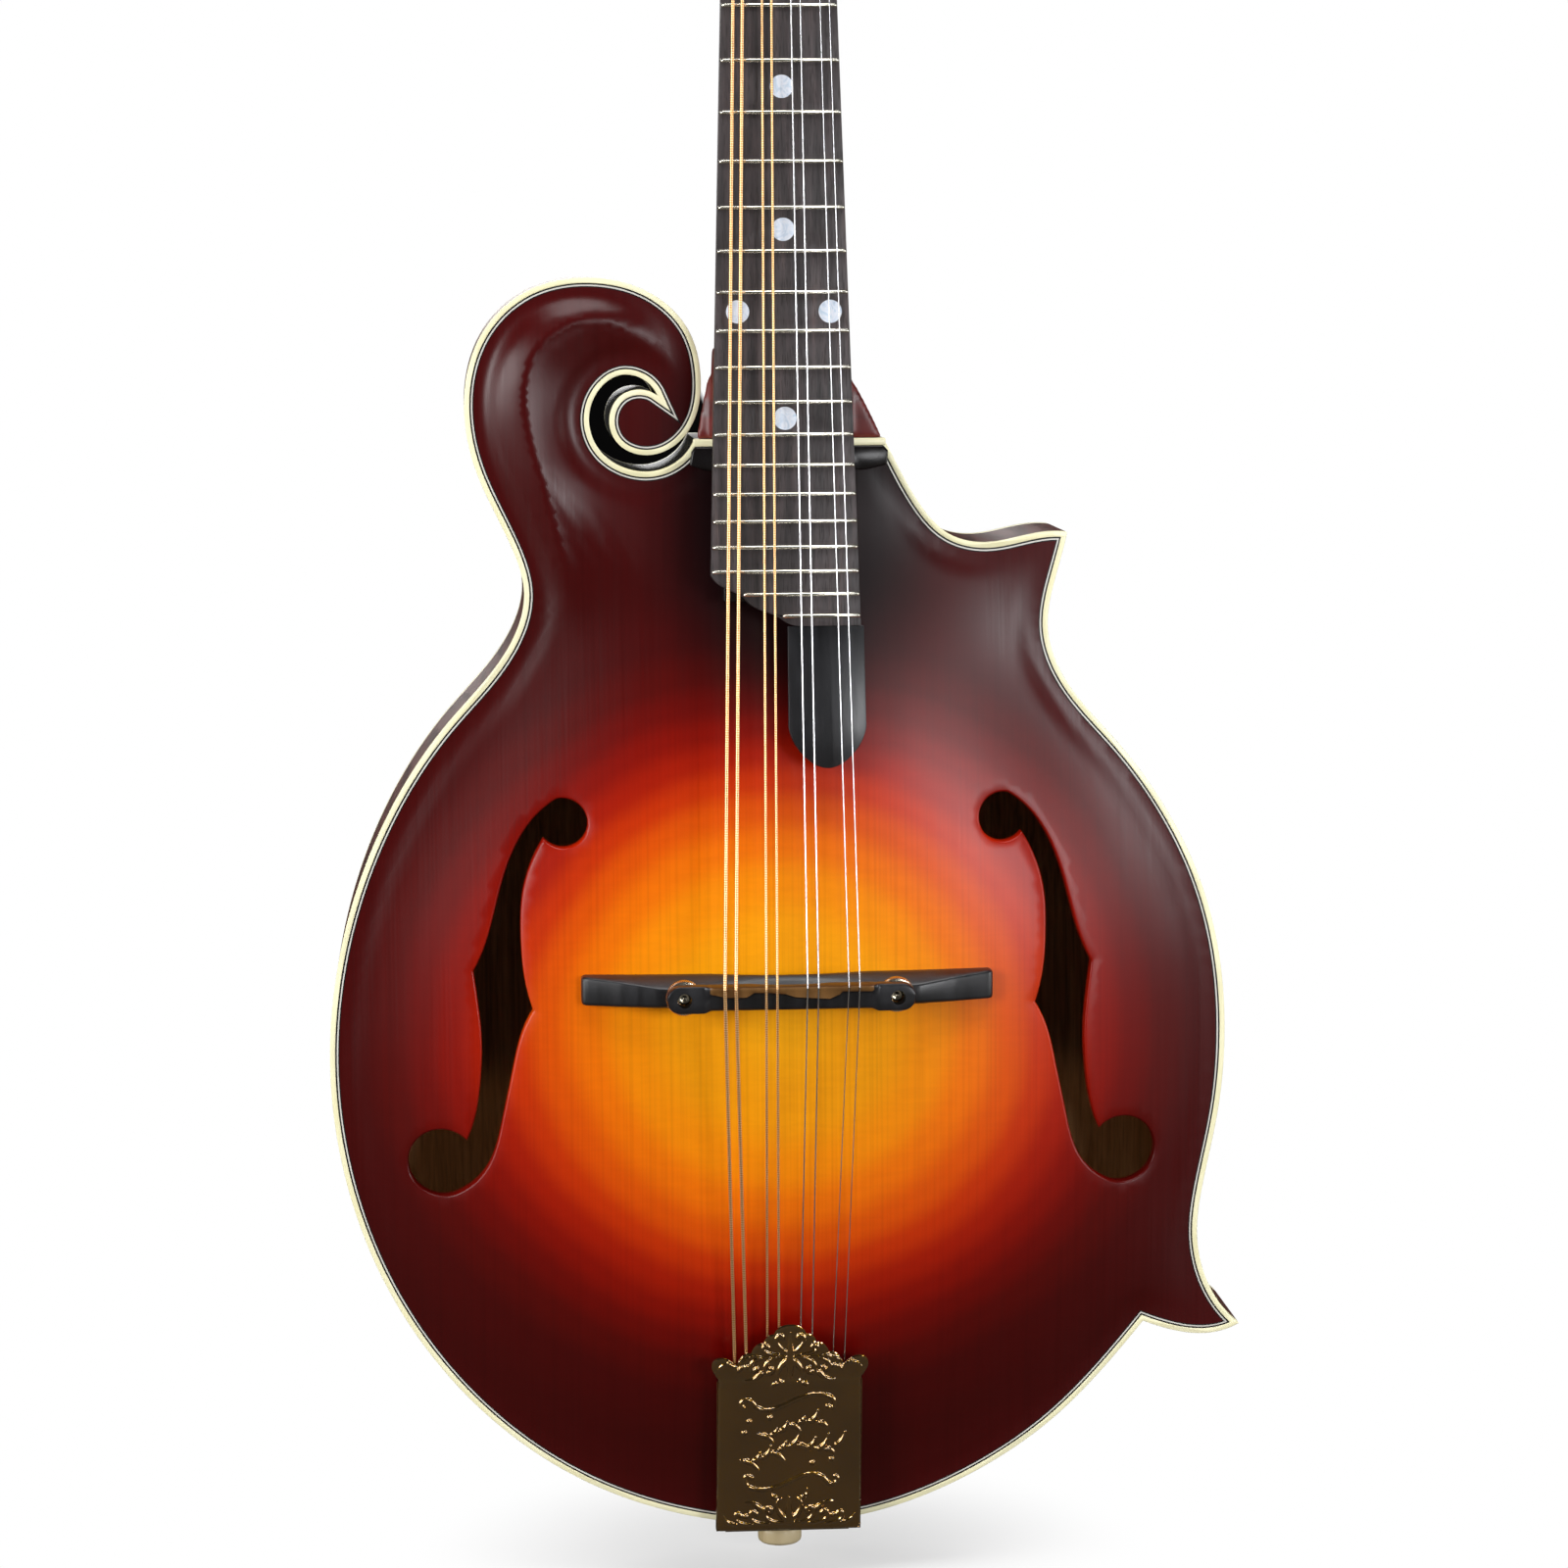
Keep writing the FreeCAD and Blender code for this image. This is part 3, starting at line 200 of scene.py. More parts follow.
def make_floor():
    """A pale disc: white to the camera, and dull to reflections and bounced light."""
    rings = []
    for radius in (0.0, 0.15, 0.3, 0.5, 0.8, 1.2):
        rings.append([(radius * math.cos(a), radius * math.sin(a), FLOOR_LEVEL)
                      for a in np.linspace(0, 2 * math.pi, FLOOR_SIDES, endpoint=False)])
    verts = [p for ring in rings for p in ring]
    faces = []
    for r in range(len(rings) - 1):
        inner, outer = FLOOR_SIDES * r, FLOOR_SIDES * (r + 1)
        for i in range(FLOOR_SIDES):
            after = (i + 1) % FLOOR_SIDES
            faces.append((outer + i, outer + after, inner + after, inner + i))
    mesh = bpy.data.meshes.new("floor")
    mesh.from_pydata(verts, [], faces)
    floor = bpy.data.objects.new("floor", mesh)
    bpy.context.scene.collection.objects.link(floor)
    paint = Paint("floor_white", roughness=0.9, Specular_IOR_Level=0.0)
    path = paint.node("ShaderNodeLightPath")
    paint.colour(paint.mix(path.outputs["Is Camera Ray"], (0.13, 0.12, 0.10, 1),
                           (0.9, 0.9, 0.9, 1)))
    glow = paint.node("ShaderNodeEmission")
    far = paint.spread((0, 0, 0), (1, 1, 0), 0.02, 0.11)
    white = paint.math("MULTIPLY", paint.math("ADD", paint.math("MULTIPLY", far, 0.5), 0.5),
                       path.outputs["Is Camera Ray"])
    pick = paint.node("ShaderNodeMixShader")
    paint.link(white, pick.inputs[0])
    paint.link(paint.bsdf.outputs[0], pick.inputs[1])
    paint.link(glow.outputs[0], pick.inputs[2])
    paint.link(pick.outputs[0], paint.tree.nodes["Material Output"].inputs["Surface"])
    mesh.materials.append(paint.mat)


# ---- materials ------------------------------------------------------------------------------
def rgb(red, green, blue):
    """A linear colour from its 0 to 255 display values."""
    def straight(v):
        v /= 255
        return v / 12.92 if v <= 0.04045 else ((v + 0.055) / 1.055) ** 2.4
    return (straight(red), straight(green), straight(blue), 1)


class Paint:
    """A principled material and short names for the nodes that feed it."""

    def __init__(self, name, roughness=0.5, metallic=0.0, **constants):
        self.mat = bpy.data.materials.new(name)
        self.mat.use_nodes = True
        self.tree = self.mat.node_tree
        self.bsdf = self.tree.nodes["Principled BSDF"]
        self.place = self.node("ShaderNodeTexCoord").outputs["Object"]
        self.put("Roughness", roughness)
        self.put("Metallic", metallic)
        for key, value in constants.items():
            self.put(key.replace("_", " "), value)

    def node(self, kind, **settings):
        made = self.tree.nodes.new(kind)
        for key, value in settings.items():
            setattr(made, key, value)
        return made

    def link(self, source, target):
        self.tree.links.new(source, target)

    def feed(self, socket, value):
        if isinstance(value, bpy.types.NodeSocket):
            self.link(value, socket)
        else:
            socket.default_value = value

    def put(self, name, value):
        self.feed(self.bsdf.inputs[name], value)

    def colour(self, value):
        self.put("Base Color", value)

    def math(self, operation, a, b=0.0):
        made = self.node("ShaderNodeMath", operation=operation)
        self.feed(made.inputs[0], a)
        self.feed(made.inputs[1], b)
        return made.outputs[0]

    def scaled(self, scale):
        made = self.node("ShaderNodeMapping")
        made.inputs["Scale"].default_value = scale
        self.link(self.place, made.inputs["Vector"])
        return made.outputs[0]

    def noise(self, scale, detail=3.0, distortion=0.0):
        """Noise over coordinates stretched by the three scales, in cells per metre."""
        made = self.node("ShaderNodeTexNoise")
        made.inputs["Scale"].default_value = 1.0
        made.inputs["Detail"].default_value = detail
        made.inputs["Distortion"].default_value = distortion
        self.link(self.scaled(scale), made.inputs["Vector"])
        return made.outputs["Fac"]

    def ramp(self, value, stops, interpolation="LINEAR"):
        made = self.node("ShaderNodeValToRGB")
        made.color_ramp.interpolation = interpolation
        elements = made.color_ramp.elements
        while len(elements) < len(stops):
            elements.new(0.5)
        for element, (place, colour) in zip(elements, stops):
            element.position = place
            element.color = colour if len(colour) == 4 else (*colour, 1)
        self.feed(made.inputs[0], value)
        return made.outputs[0]

    def mix(self, share, a, b, blend="MIX"):
        made = self.node("ShaderNodeMix", data_type="RGBA", blend_type=blend)
        self.feed(made.inputs[0], share)
        self.feed(made.inputs[6], a)
        self.feed(made.inputs[7], b)
        return made.outputs[2]

    def reach(self, value, low, high, to_low, to_high):
        made = self.node("ShaderNodeMapRange")
        for i, v in enumerate((value, low, high, to_low, to_high)):
            self.feed(made.inputs[i], v)
        return made.outputs[0]

    def away(self, point, weight):
        """Distance in metres from a point, each axis weighted."""
        made = self.node("ShaderNodeVectorMath", operation="SUBTRACT")
        self.link(self.place, made.inputs[0])
        made.inputs[1].default_value = point
        times = self.node("ShaderNodeVectorMath", operation="MULTIPLY")
        self.link(made.outputs[0], times.inputs[0])
        times.inputs[1].default_value = weight
        length = self.node("ShaderNodeVectorMath", operation="LENGTH")
        self.link(times.outputs[0], length.inputs[0])
        return length.outputs["Value"]

    def spread(self, point, weight, near, far):
        """0 up to near from the point, 1 from far on."""
        made = self.node("ShaderNodeMapRange", interpolation_type="SMOOTHSTEP")
        for i, v in enumerate((self.away(point, weight), near, far, 0.0, 1.0)):
            self.feed(made.inputs[i], v)
        return made.outputs[0]

    def bump(self, height, strength, distance):
        made = self.node("ShaderNodeBump")
        made.inputs["Strength"].default_value = strength
        made.inputs["Distance"].default_value = distance
        self.link(height, made.inputs["Height"])
        self.link(made.outputs[0], self.bsdf.inputs["Normal"])


# The burst's colours by distance from its middle in mm, and how much wider than high it is.
BURST_REACH, BURST_SQUEEZE = 160, 0.925
BURST = [(0, (252, 172, 8)), (25, (250, 160, 4)), (40, (246, 140, 1)), (50, (236, 112, 0)),
         (60, (216, 80, 0)), (68, (192, 48, 0)), (76, (160, 24, 0)), (84, (130, 11, 0)),
         (92, (103, 5, 1)), (100, (82, 4, 2)), (110, (67, 3, 3)), (125, (60, 3, 3)),
         (150, (66, 5, 6))]


def burst_colour(paint, centre, colours, shade_share):
    """Amber in the middle through red to burgundy, and black where the neck joins."""
    drift = paint.math("SUBTRACT", paint.noise((14, 14, 14), 2), 0.5)
    wander = paint.math("MULTIPLY", drift, 0.008)
    radius = paint.math("ADD", paint.away(centre, (BURST_SQUEEZE, 0, 1)), wander)
    ring = paint.ramp(paint.math("MULTIPLY", radius, 1000 / BURST_REACH),
                      [(r / BURST_REACH, rgb(*c)) for r, c in colours], "EASE")
    shade = paint.spread((0.004, 0, 0.302), (1 / 0.040, 0, 1 / 0.060), 0.55, 1.22)
    inverse = paint.math("MULTIPLY", paint.math("SUBTRACT", 1.0, shade), shade_share)
    return paint.mix(inverse, ring, rgb(17, 5, 7))


def make_spruce():
    paint = Paint("spruce_burst", roughness=0.30, Specular_IOR_Level=0.24)
    base = burst_colour(paint, (-0.0012, 0, 0.158), BURST, 0.94)
    lines = paint.noise((1150, 60, 9), 2.5)
    fine = paint.noise((2600, 60, 22), 2)
    silk = paint.noise((90, 60, 520), 2, 0.6)
    grain = paint.ramp(lines, [(0.32, (0.90, 0.88, 0.85)), (0.55, (1, 1, 1)), (0.75, (1, 1, 1))])
    flecks = paint.ramp(silk, [(0.40, (0.965, 0.955, 0.94)), (0.60, (1, 1, 1))])
    tone = paint.mix(1.0, base, grain, "MULTIPLY")
    tone = paint.mix(0.8, tone, flecks, "MULTIPLY")
    paint.colour(tone)
    paint.put("Roughness", paint.reach(fine, 0.3, 0.7, 0.28, 0.33))
    paint.bump(paint.math("ADD", lines, paint.math("MULTIPLY", fine, 0.4)), 0.05, 0.0002)
    return paint.mat


def flame(paint, across, strength):
    """Curly figure that runs across the grain, with long fine pores."""
    waves = paint.noise(across, 1.5, 0.8)
    dark, light = strength
    curl = paint.ramp(waves, [(0.36, (dark, dark * 0.93, dark * 0.86)), (0.50, (0.86, 0.84, 0.80)),
                              (0.64, (light, light, light))])
    pores = paint.ramp(paint.noise((1500, 1500, 30), 2),
                       [(0.3, (0.84, 0.82, 0.8)), (0.55, (1, 1, 1))])
    return curl, pores, waves


def make_maple(name, base, across, strength, roughness=0.34):
    paint = Paint(name, roughness=roughness, Specular_IOR_Level=0.55)
    curl, pores, waves = flame(paint, across, strength)
    tone = paint.mix(1.0, base(paint), curl, "MULTIPLY")
    paint.colour(paint.mix(0.7, tone, pores, "MULTIPLY"))
    paint.put("Roughness", paint.reach(waves, 0.3, 0.7, roughness - 0.04, roughness + 0.04))
    paint.bump(waves, 0.05, 0.0003)
    return paint.mat


def neck_tone(paint):
    """Brown along the middle of the neck, and dark red towards both ends."""
    along = paint.spread((0, 0, 0.445), (0, 0, 1), 0.03, 0.12)
    return paint.mix(along, rgb(96, 34, 14), rgb(104, 13, 9))


def back_tone(paint):
    colours = [(0, (196, 106, 22)), (30, (182, 88, 16)), (55, (148, 56, 10)), (75, (112, 28, 6)),
               (95, (78, 13, 5)), (120, (54, 7, 5)), (150, (42, 5, 5))]
    return burst_colour(paint, (0, 0, 0.155), colours, 0.8)


def make_block_wood(name="inner_wood", glow=0.0):
    """Pale inner wood. A glow stands for the light that falls in through the sound holes."""
    paint = Paint(name, roughness=0.75)
    paint.put("Emission Color", rgb(190, 120, 60))
    below = paint.spread((0, 0, 0.112), (0, 0, 1), 0.015, 0.030)
    paint.put("Emission Strength", paint.reach(below, 0, 1, glow, glow * 0.10))
    lines = paint.noise((700, 700, 24), 3, 0.3)
    paint.colour(paint.ramp(lines, [(0.3, rgb(122, 84, 50)), (0.5, rgb(166, 122, 78)),
                                    (0.7, rgb(190, 146, 98))]))
    paint.bump(lines, 0.2, 0.0002)
    return paint.mat


def make_mottled(name, low, high, scale, roughness, metallic=0.0, bump=0.05, grit=0.05,
                 **constants):
    """A plain surface with faint mottling and uneven gloss."""
    paint = Paint(name, roughness=roughness, metallic=metallic, **constants)
    cloud = paint.noise(scale, 3)
    fine = paint.noise((2400, 2400, 2400), 2)
    paint.colour(paint.ramp(cloud, [(0.32, rgb(*low)), (0.68, rgb(*high))]))
    paint.put("Roughness", paint.reach(cloud, 0.3, 0.7, roughness - grit, roughness + grit))
    paint.bump(fine, bump, 0.0001)
    return paint.mat


def make_board_wood():
    paint = Paint("board_wood", roughness=0.5, Specular_IOR_Level=0.5)
    streaks = paint.noise((420, 420, 12), 4, 0.2)
    pores = paint.noise((2600, 2600, 90), 2)
    tone = paint.ramp(streaks, [(0.28, rgb(34, 29, 30)), (0.48, rgb(54, 47, 48)),
                                (0.62, rgb(68, 59, 60)), (0.78, rgb(84, 70, 68))])
    dots = paint.ramp(pores, [(0.36, (0.45, 0.42, 0.4)), (0.46, (1, 1, 1))])
    paint.colour(paint.mix(0.75, tone, dots, "MULTIPLY"))
    paint.put("Roughness", paint.reach(pores, 0.3, 0.6, 0.62, 0.46))
    paint.bump(pores, 0.25, 0.0001)
    return paint.mat


def make_pearl():
    paint = Paint("pearl", roughness=0.22, Specular_IOR_Level=0.7, Coat_Weight=0.5,
                  Coat_Roughness=0.12)
    swirl = paint.noise((340, 340, 260), 3, 1.6)
    paint.colour(paint.ramp(swirl, [(0.25, rgb(176, 192, 210)), (0.42, rgb(204, 216, 232)),
                                    (0.55, rgb(226, 230, 240)), (0.72, rgb(190, 208, 226))]))
    paint.bump(swirl, 0.08, 0.0002)
    return paint.mat


def make_wound_wire():
    paint = Paint("bronze_wire", roughness=0.34, metallic=1.0)
    turns = paint.node("ShaderNodeTexWave", wave_type="BANDS", bands_direction="Z")
    turns.inputs["Scale"].default_value = 1.0
    paint.link(paint.scaled((0, 0, 480)), turns.inputs["Vector"])
    tone = paint.mix(turns.outputs["Fac"], rgb(236, 170, 104), rgb(255, 222, 172))
    patches = paint.ramp(paint.noise((200, 200, 40), 2),
                         [(0.35, (0.82, 0.8, 0.78)), (0.6, (1, 1, 1))])
    paint.colour(paint.mix(0.6, tone, patches, "MULTIPLY"))
    paint.bump(turns.outputs["Fac"], 0.3, 0.0001)
    return paint.mat


# Plain surfaces: two colours, cells per metre, roughness, metallic share and further settings.
MOTTLED = {
    "cream_plastic": ((246, 240, 196), (253, 249, 212), (60, 60, 60), 0.34, 0.0, {}),
    "black_plastic": ((16, 15, 16), (24, 22, 23), (90, 90, 90), 0.3, 0.0, {}),
    "black_lacquer": ((11, 8, 9), (17, 12, 13), (70, 70, 70), 0.26, 0.0,
                      {"Specular_IOR_Level": 0.28}),
    "white_plastic": ((206, 204, 196), (222, 221, 214), (80, 80, 80), 0.35, 0.0, {}),
    "ebony": ((17, 17, 20), (27, 27, 31), (260, 260, 60), 0.36, 0.0, {"bump": 0.12}),
    # painted reflection: the amber top seen in the saddle's black front, not a colour of the wood
    "ebony_amber_reflection": ((100, 68, 32), (126, 88, 44), (260, 260, 60), 0.42, 0.0, {"bump": 0.12}),
    "fret_wire": ((226, 222, 208), (245, 242, 232), (500, 500, 500), 0.22, 1.0, {}),
    "bone": ((228, 218, 192), (241, 234, 214), (240, 240, 240), 0.36, 0.0, {}),
    "steel_wire": ((196, 198, 202), (236, 237, 240), (300, 300, 50), 0.2, 1.0, {}),
    "tailpiece_metal": ((132, 94, 12), (148, 106, 16), (50, 50, 50), 0.17, 1.0,
                        {"bump": 0.02, "grit": 0.03, "Coat_Weight": 1.0,
                         "Coat_Roughness": 0.04, "Coat_IOR": 1.95}),
    "nickel": ((212, 200, 174), (230, 220, 198), (200, 200, 200), 0.18, 1.0, {}),
    "gear_brass": ((190, 150, 74), (214, 176, 98), (300, 300, 300), 0.28, 1.0, {}),
    "button_plastic": ((214, 206, 184), (240, 235, 222), (130, 130, 130), 0.2, 0.0,
                       {"Coat_Weight": 0.4, "Coat_Roughness": 0.1}),
    "ivory_plastic": ((196, 176, 134), (222, 204, 164), (120, 120, 60), 0.3, 0.0, {}),
    "steel": ((150, 150, 150), (186, 186, 188), (300, 300, 300), 0.3, 1.0, {}),
}


def make_materials():
    """Every material by its name."""
    made = {
        "spruce": make_spruce(),
        "maple_back": make_maple("maple_back", back_tone, (24, 60, 300), (0.55, 1.0)),
        "maple_rib": make_maple("maple_rib", lambda p: rgb(84, 26, 12), (300, 30, 300), (0.5, 1.0)),
        "maple_neck": make_maple("maple_neck", neck_tone, (40, 40, 260), (0.6, 1.0), 0.38),
        "inner_wood": make_block_wood(),
        "back_inside": make_block_wood("back_inside", 0.033),
        "board_wood": make_board_wood(),
        "pearl": make_pearl(),
        "bronze_wire": make_wound_wire(),
    }
    for name, (low, high, scale, roughness, metallic, more) in MOTTLED.items():
        made[name] = make_mottled(name, low, high, scale, roughness, metallic, **more)
    return made


# ---- curves and outlines --------------------------------------------------------------------
def run(points, step=1.2):
    """Close samples along the clamped cubic that the CAD draws through the points."""
    p = np.array(points, float)
    gaps = np.linalg.norm(np.diff(p, axis=0), axis=1)
    at = np.concatenate([[0], np.cumsum(gaps)])
    count = max(2, int(at[-1] / step) + 1)
    if len(p) == 2:
        return [tuple(q) for q in np.linspace(p[0], p[1], count)]
    near = min(4, len(p))

    def end_slope(t, q, where):
        return [np.polyval(np.polyder(np.polyfit(t - where, q[:, c], near - 1)), 0)
                for c in range(p.shape[1])]

    system, right = np.zeros((len(p), len(p))), np.zeros_like(p)
    system[0, 0] = system[-1, -1] = 1
    right[0] = end_slope(at[:near], p[:near], at[0])
    right[-1] = end_slope(at[-near:], p[-near:], at[-1])
    for i in range(1, len(p) - 1):
        a, b = 1 / gaps[i - 1], 1 / gaps[i]
        system[i, i - 1:i + 2] = a, 2 * (a + b), b
        right[i] = 3 * (a * a * (p[i] - p[i - 1]) + b * b * (p[i + 1] - p[i]))
    slope = np.linalg.solve(system, right)
    u = np.linspace(0, at[-1], count)
    i = np.clip(np.searchsorted(at, u, side="right") - 1, 0, len(gaps) - 1)
    h = gaps[i][:, None]
    t = ((u - at[i]) / gaps[i])[:, None]
    out = ((2 * t ** 3 - 3 * t ** 2 + 1) * p[i] + (t ** 3 - 2 * t ** 2 + t) * h * slope[i]
           + (3 * t ** 2 - 2 * t ** 3) * p[i + 1] + (t ** 3 - t ** 2) * h * slope[i + 1])
    return [tuple(q) for q in out]


def arc(points, step=0.8):
    """Samples along the circle through three points."""
    (ax, ay), (bx, by), (cx, cy) = points
    d = 2 * (ax * (by - cy) + bx * (cy - ay) + cx * (ay - by))
    a2, b2, c2 = ax * ax + ay * ay, bx * bx + by * by, cx * cx + cy * cy
    ox = (a2 * (by - cy) + b2 * (cy - ay) + c2 * (ay - by)) / d
    oy = (a2 * (cx - bx) + b2 * (ax - cx) + c2 * (bx - ax)) / d
    radius = math.hypot(ax - ox, ay - oy)
    first, mid, last = (math.atan2(y - oy, x - ox) for x, y in points)
    sweep = (last - first) % (2 * math.pi)
    if (mid - first) % (2 * math.pi) > sweep:
        sweep -= 2 * math.pi
    count = max(3, int(abs(sweep) * radius / step))
    return [(ox + radius * math.cos(first + sweep * k / count),
             oy + radius * math.sin(first + sweep * k / count)) for k in range(count + 1)]


def moved_inwards(samples, distance):
    out = []
    last = len(samples) - 1
    for i, (x, z) in enumerate(samples):
        ahead, behind = samples[min(i + 1, last)], samples[max(i - 1, 0)]
        dx, dz = ahead[0] - behind[0], ahead[1] - behind[1]
        length = math.hypot(dx, dz)
        out.append((x + distance * dz / length, z - distance * dx / length))
    return out


def crossing(a, b, c, d):
    rx, rz, sx, sz = b[0] - a[0], b[1] - a[1], d[0] - c[0], d[1] - c[1]
    area = rx * sz - rz * sx
    if abs(area) < 1e-9:
        return None
    t = ((c[0] - a[0]) * sz - (c[1] - a[1]) * sx) / area
    u = ((c[0] - a[0]) * rz - (c[1] - a[1]) * rx) / area
    return (a[0] + t * rx, a[1] + t * rz), t, u


def joined(first, second, reach=30):
    """Two neighbouring runs trimmed at their crossing, or carried on to a mitre."""
    for i in range(len(first) - 2, max(-1, len(first) - reach), -1):
        for j in range(min(reach, len(second) - 1)):
            hit = crossing(first[i], first[i + 1], second[j], second[j + 1])
            if hit and 0 <= hit[1] <= 1 and 0 <= hit[2] <= 1:
                return first[:i + 1] + [hit[0]], [hit[0]] + second[j + 1:]
    hit = crossing(first[-2], first[-1], second[1], second[0])
    tip = hit[0] if hit else first[-1]
    return first + [tip], [tip] + second


def inset(runs, distance):
    if distance == 0:
        return [list(r) for r in runs]
    out = [moved_inwards(r, distance) for r in runs]
    for i in range(len(out)):
        j = (i + 1) % len(out)
        out[i], out[j] = joined(out[i], out[j])
    return out


def loop_of(runs):
    """One closed loop without the doubled ends."""
    out = []
    for samples in runs:
        for p in samples[:-1]:
            if not out or math.hypot(p[0] - out[-1][0], p[1] - out[-1][1]) > 1e-3:
                out.append(tuple(p))
    return out


OUTLINE = [run(SHOULDER), run(TREBLE_SIDE), run(LOWER_POINT), run(BASS_SIDE), run(SLOT_SIDE),
           run([SLOT_SIDE[-1], SHOULDER[0]])]
RIM = np.array(loop_of(OUTLINE))
CREST_LINE = run(CREST)


def inside(points, loops):
    """Even-odd test of many points against closed loops."""
    points = np.asarray(points, float)
    found = np.zeros(len(points), bool)
    for loop in loops:
        a = np.asarray(loop, float)
        b = np.roll(a, -1, axis=0)
        for (x0, z0), (x1, z1) in zip(a, b):
            if z0 == z1:
                continue
            hit = (z0 > points[:, 1]) != (z1 > points[:, 1])
            found ^= hit & (points[:, 0] < x0 + (points[:, 1] - z0) * (x1 - x0) / (z1 - z0))
    return found


def nearest(points, others):
    """Distance from each point to the nearest of the others, and which one it is."""
    points, others = np.asarray(points, float), np.asarray(others, float)
    far, which = np.empty(len(points)), np.empty(len(points), int)
    for k in range(0, len(points), 2000):
        gap = np.linalg.norm(points[k:k + 2000, None] - others[None], axis=2)
        which[k:k + 2000] = gap.argmin(1)
        far[k:k + 2000] = gap.min(1)
    return far, which


# ---- the carved arch ------------------------------------------------------------------------
GRID, GRID_X0, GRID_Z0, GRID_COLS, GRID_ROWS = 6.0, -138.0, 0.0, 47, 63


def smooth(t):
    return t * t * (3 - 2 * t)


def swell():
    """The same blown-up sheet over the outline as in the CAD, as spline coefficients."""
    spots = [(GRID_X0 + GRID * i, GRID_Z0 + GRID * j) for i in range(GRID_COLS)
             for j in range(GRID_ROWS)]
    free = inside(spots, [RIM]).reshape(GRID_COLS, GRID_ROWS).tolist()
    level = [[0.0] * GRID_ROWS for _ in range(GRID_COLS)]
    for _ in range(220):
        for i in range(1, GRID_COLS - 1):
            for j in range(1, GRID_ROWS - 1):
                if free[i][j]:
                    around = level[i - 1][j] + level[i + 1][j] + level[i][j - 1] + level[i][j + 1]
                    level[i][j] += 1.85 * ((around + 1.0) / 4 - level[i][j])
    level = np.array(level)
    values = smooth(level / level.max())
    for axis, size in ((0, GRID_COLS), (1, GRID_ROWS)):
        filt = (np.eye(size) * 4 + np.eye(size, k=1) + np.eye(size, k=-1)) / 6
        filt[0, :2], filt[-1, -2:] = (1, 0), (0, 1)
        values = np.apply_along_axis(lambda v: np.linalg.solve(filt, v), axis, values)
    return values


SWELL = swell()


def arch(points):
    """Share of the full arch height at (x, z) points."""
    p = np.asarray(points, float)
    u, v = (p[:, 0] - GRID_X0) / GRID, (p[:, 1] - GRID_Z0) / GRID
    i, j = np.floor(u).astype(int), np.floor(v).astype(int)

    def weights(t):
        return [(1 - t) ** 3 / 6, (3 * t ** 3 - 6 * t ** 2 + 4) / 6,
                (-3 * t ** 3 + 3 * t ** 2 + 3 * t + 1) / 6, t ** 3 / 6]

    wu, wv = weights(u - i), weights(v - j)
    total = np.zeros(len(p))
    for a in range(4):
        for b in range(4):
            rows = np.clip(i + a - 1, 0, GRID_COLS - 1)
            cols = np.clip(j + b - 1, 0, GRID_ROWS - 1)
            total += wu[a] * wv[b] * SWELL[rows, cols]
    return total


def ridge(points):
    """Height of the scroll's carved crest, which winds into the slot."""
    p = np.asarray(points, float)
    out = np.zeros(len(p))
    part = (p[:, 0] < -15) & (p[:, 1] > 255)
    if not part.any():
        return out
    gap, place = nearest(p[part], CREST_LINE)
    border = nearest(p[part], RIM)[0]
    along = place / (len(CREST_LINE) - 1)
    rise = smooth(np.clip(along / 0.4, 0, 1)) * smooth(np.clip((1 - along) / 0.35, 0, 1))
    share = border / (border + gap + 1e-9)
    near = smooth(np.clip((30 - gap) / 14, 0, 1))
    out[part] = RIDGE * rise * near * share ** 2 * (2.2 - 1.2 * share)
    return out


def height(points, top):
    """Height over the rim, with the edge eased down to the binding."""
    p = np.asarray(points, float)
    border = nearest(p, RIM)[0]
    return (top * arch(p) + ridge(p)) * smooth(np.clip((border - 2.5) / 7, 0, 1))


# ---- mesh tools -----------------------------------------------------------------------------
class Shape:
    """Collects vertices and faces, then becomes one piece."""

    def __init__(self):
        self.verts, self.faces, self.index = [], [], []

    def add(self, made, slot=0, matrix=None):
        verts, faces = made
        verts = np.asarray(verts, float)
        if matrix is not None:
            verts = verts @ matrix[:3, :3].T + matrix[:3, 3]
        base = len(self.verts)
        self.verts.extend(verts.tolist())
        self.faces.extend([tuple(int(i) + base for i in f) for f in faces])
        self.index.extend([slot] * len(faces))
        return self

    def piece(self, name, materials, body="body", slot=None, nodes=(), sharp=35):
        mesh = bpy.data.meshes.new(name)
        mesh.from_pydata((np.array(self.verts) * MM).tolist(), [], self.faces)
        for key in materials:
            mesh.materials.append(MATERIALS[key])
        mesh.polygons.foreach_set("material_index", self.index)
        return placed(name, mesh, body, nodes, sharp)


def placed(name, mesh, body, nodes, sharp):
    work = bmesh.new()
    work.from_mesh(mesh)
    bmesh.ops.recalc_face_normals(work, faces=work.faces[:])
    work.to_mesh(mesh)
    work.free()
    mesh.update()
    mesh.polygons.foreach_set("use_smooth", [True] * len(mesh.polygons))
    mesh.set_sharp_from_angle(angle=math.radians(sharp))
    obj = bpy.data.objects.new(name, mesh)
    bpy.context.scene.collection.objects.link(obj)
    if body:
        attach(obj, body)
    if nodes:
        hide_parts(*nodes)
    return obj


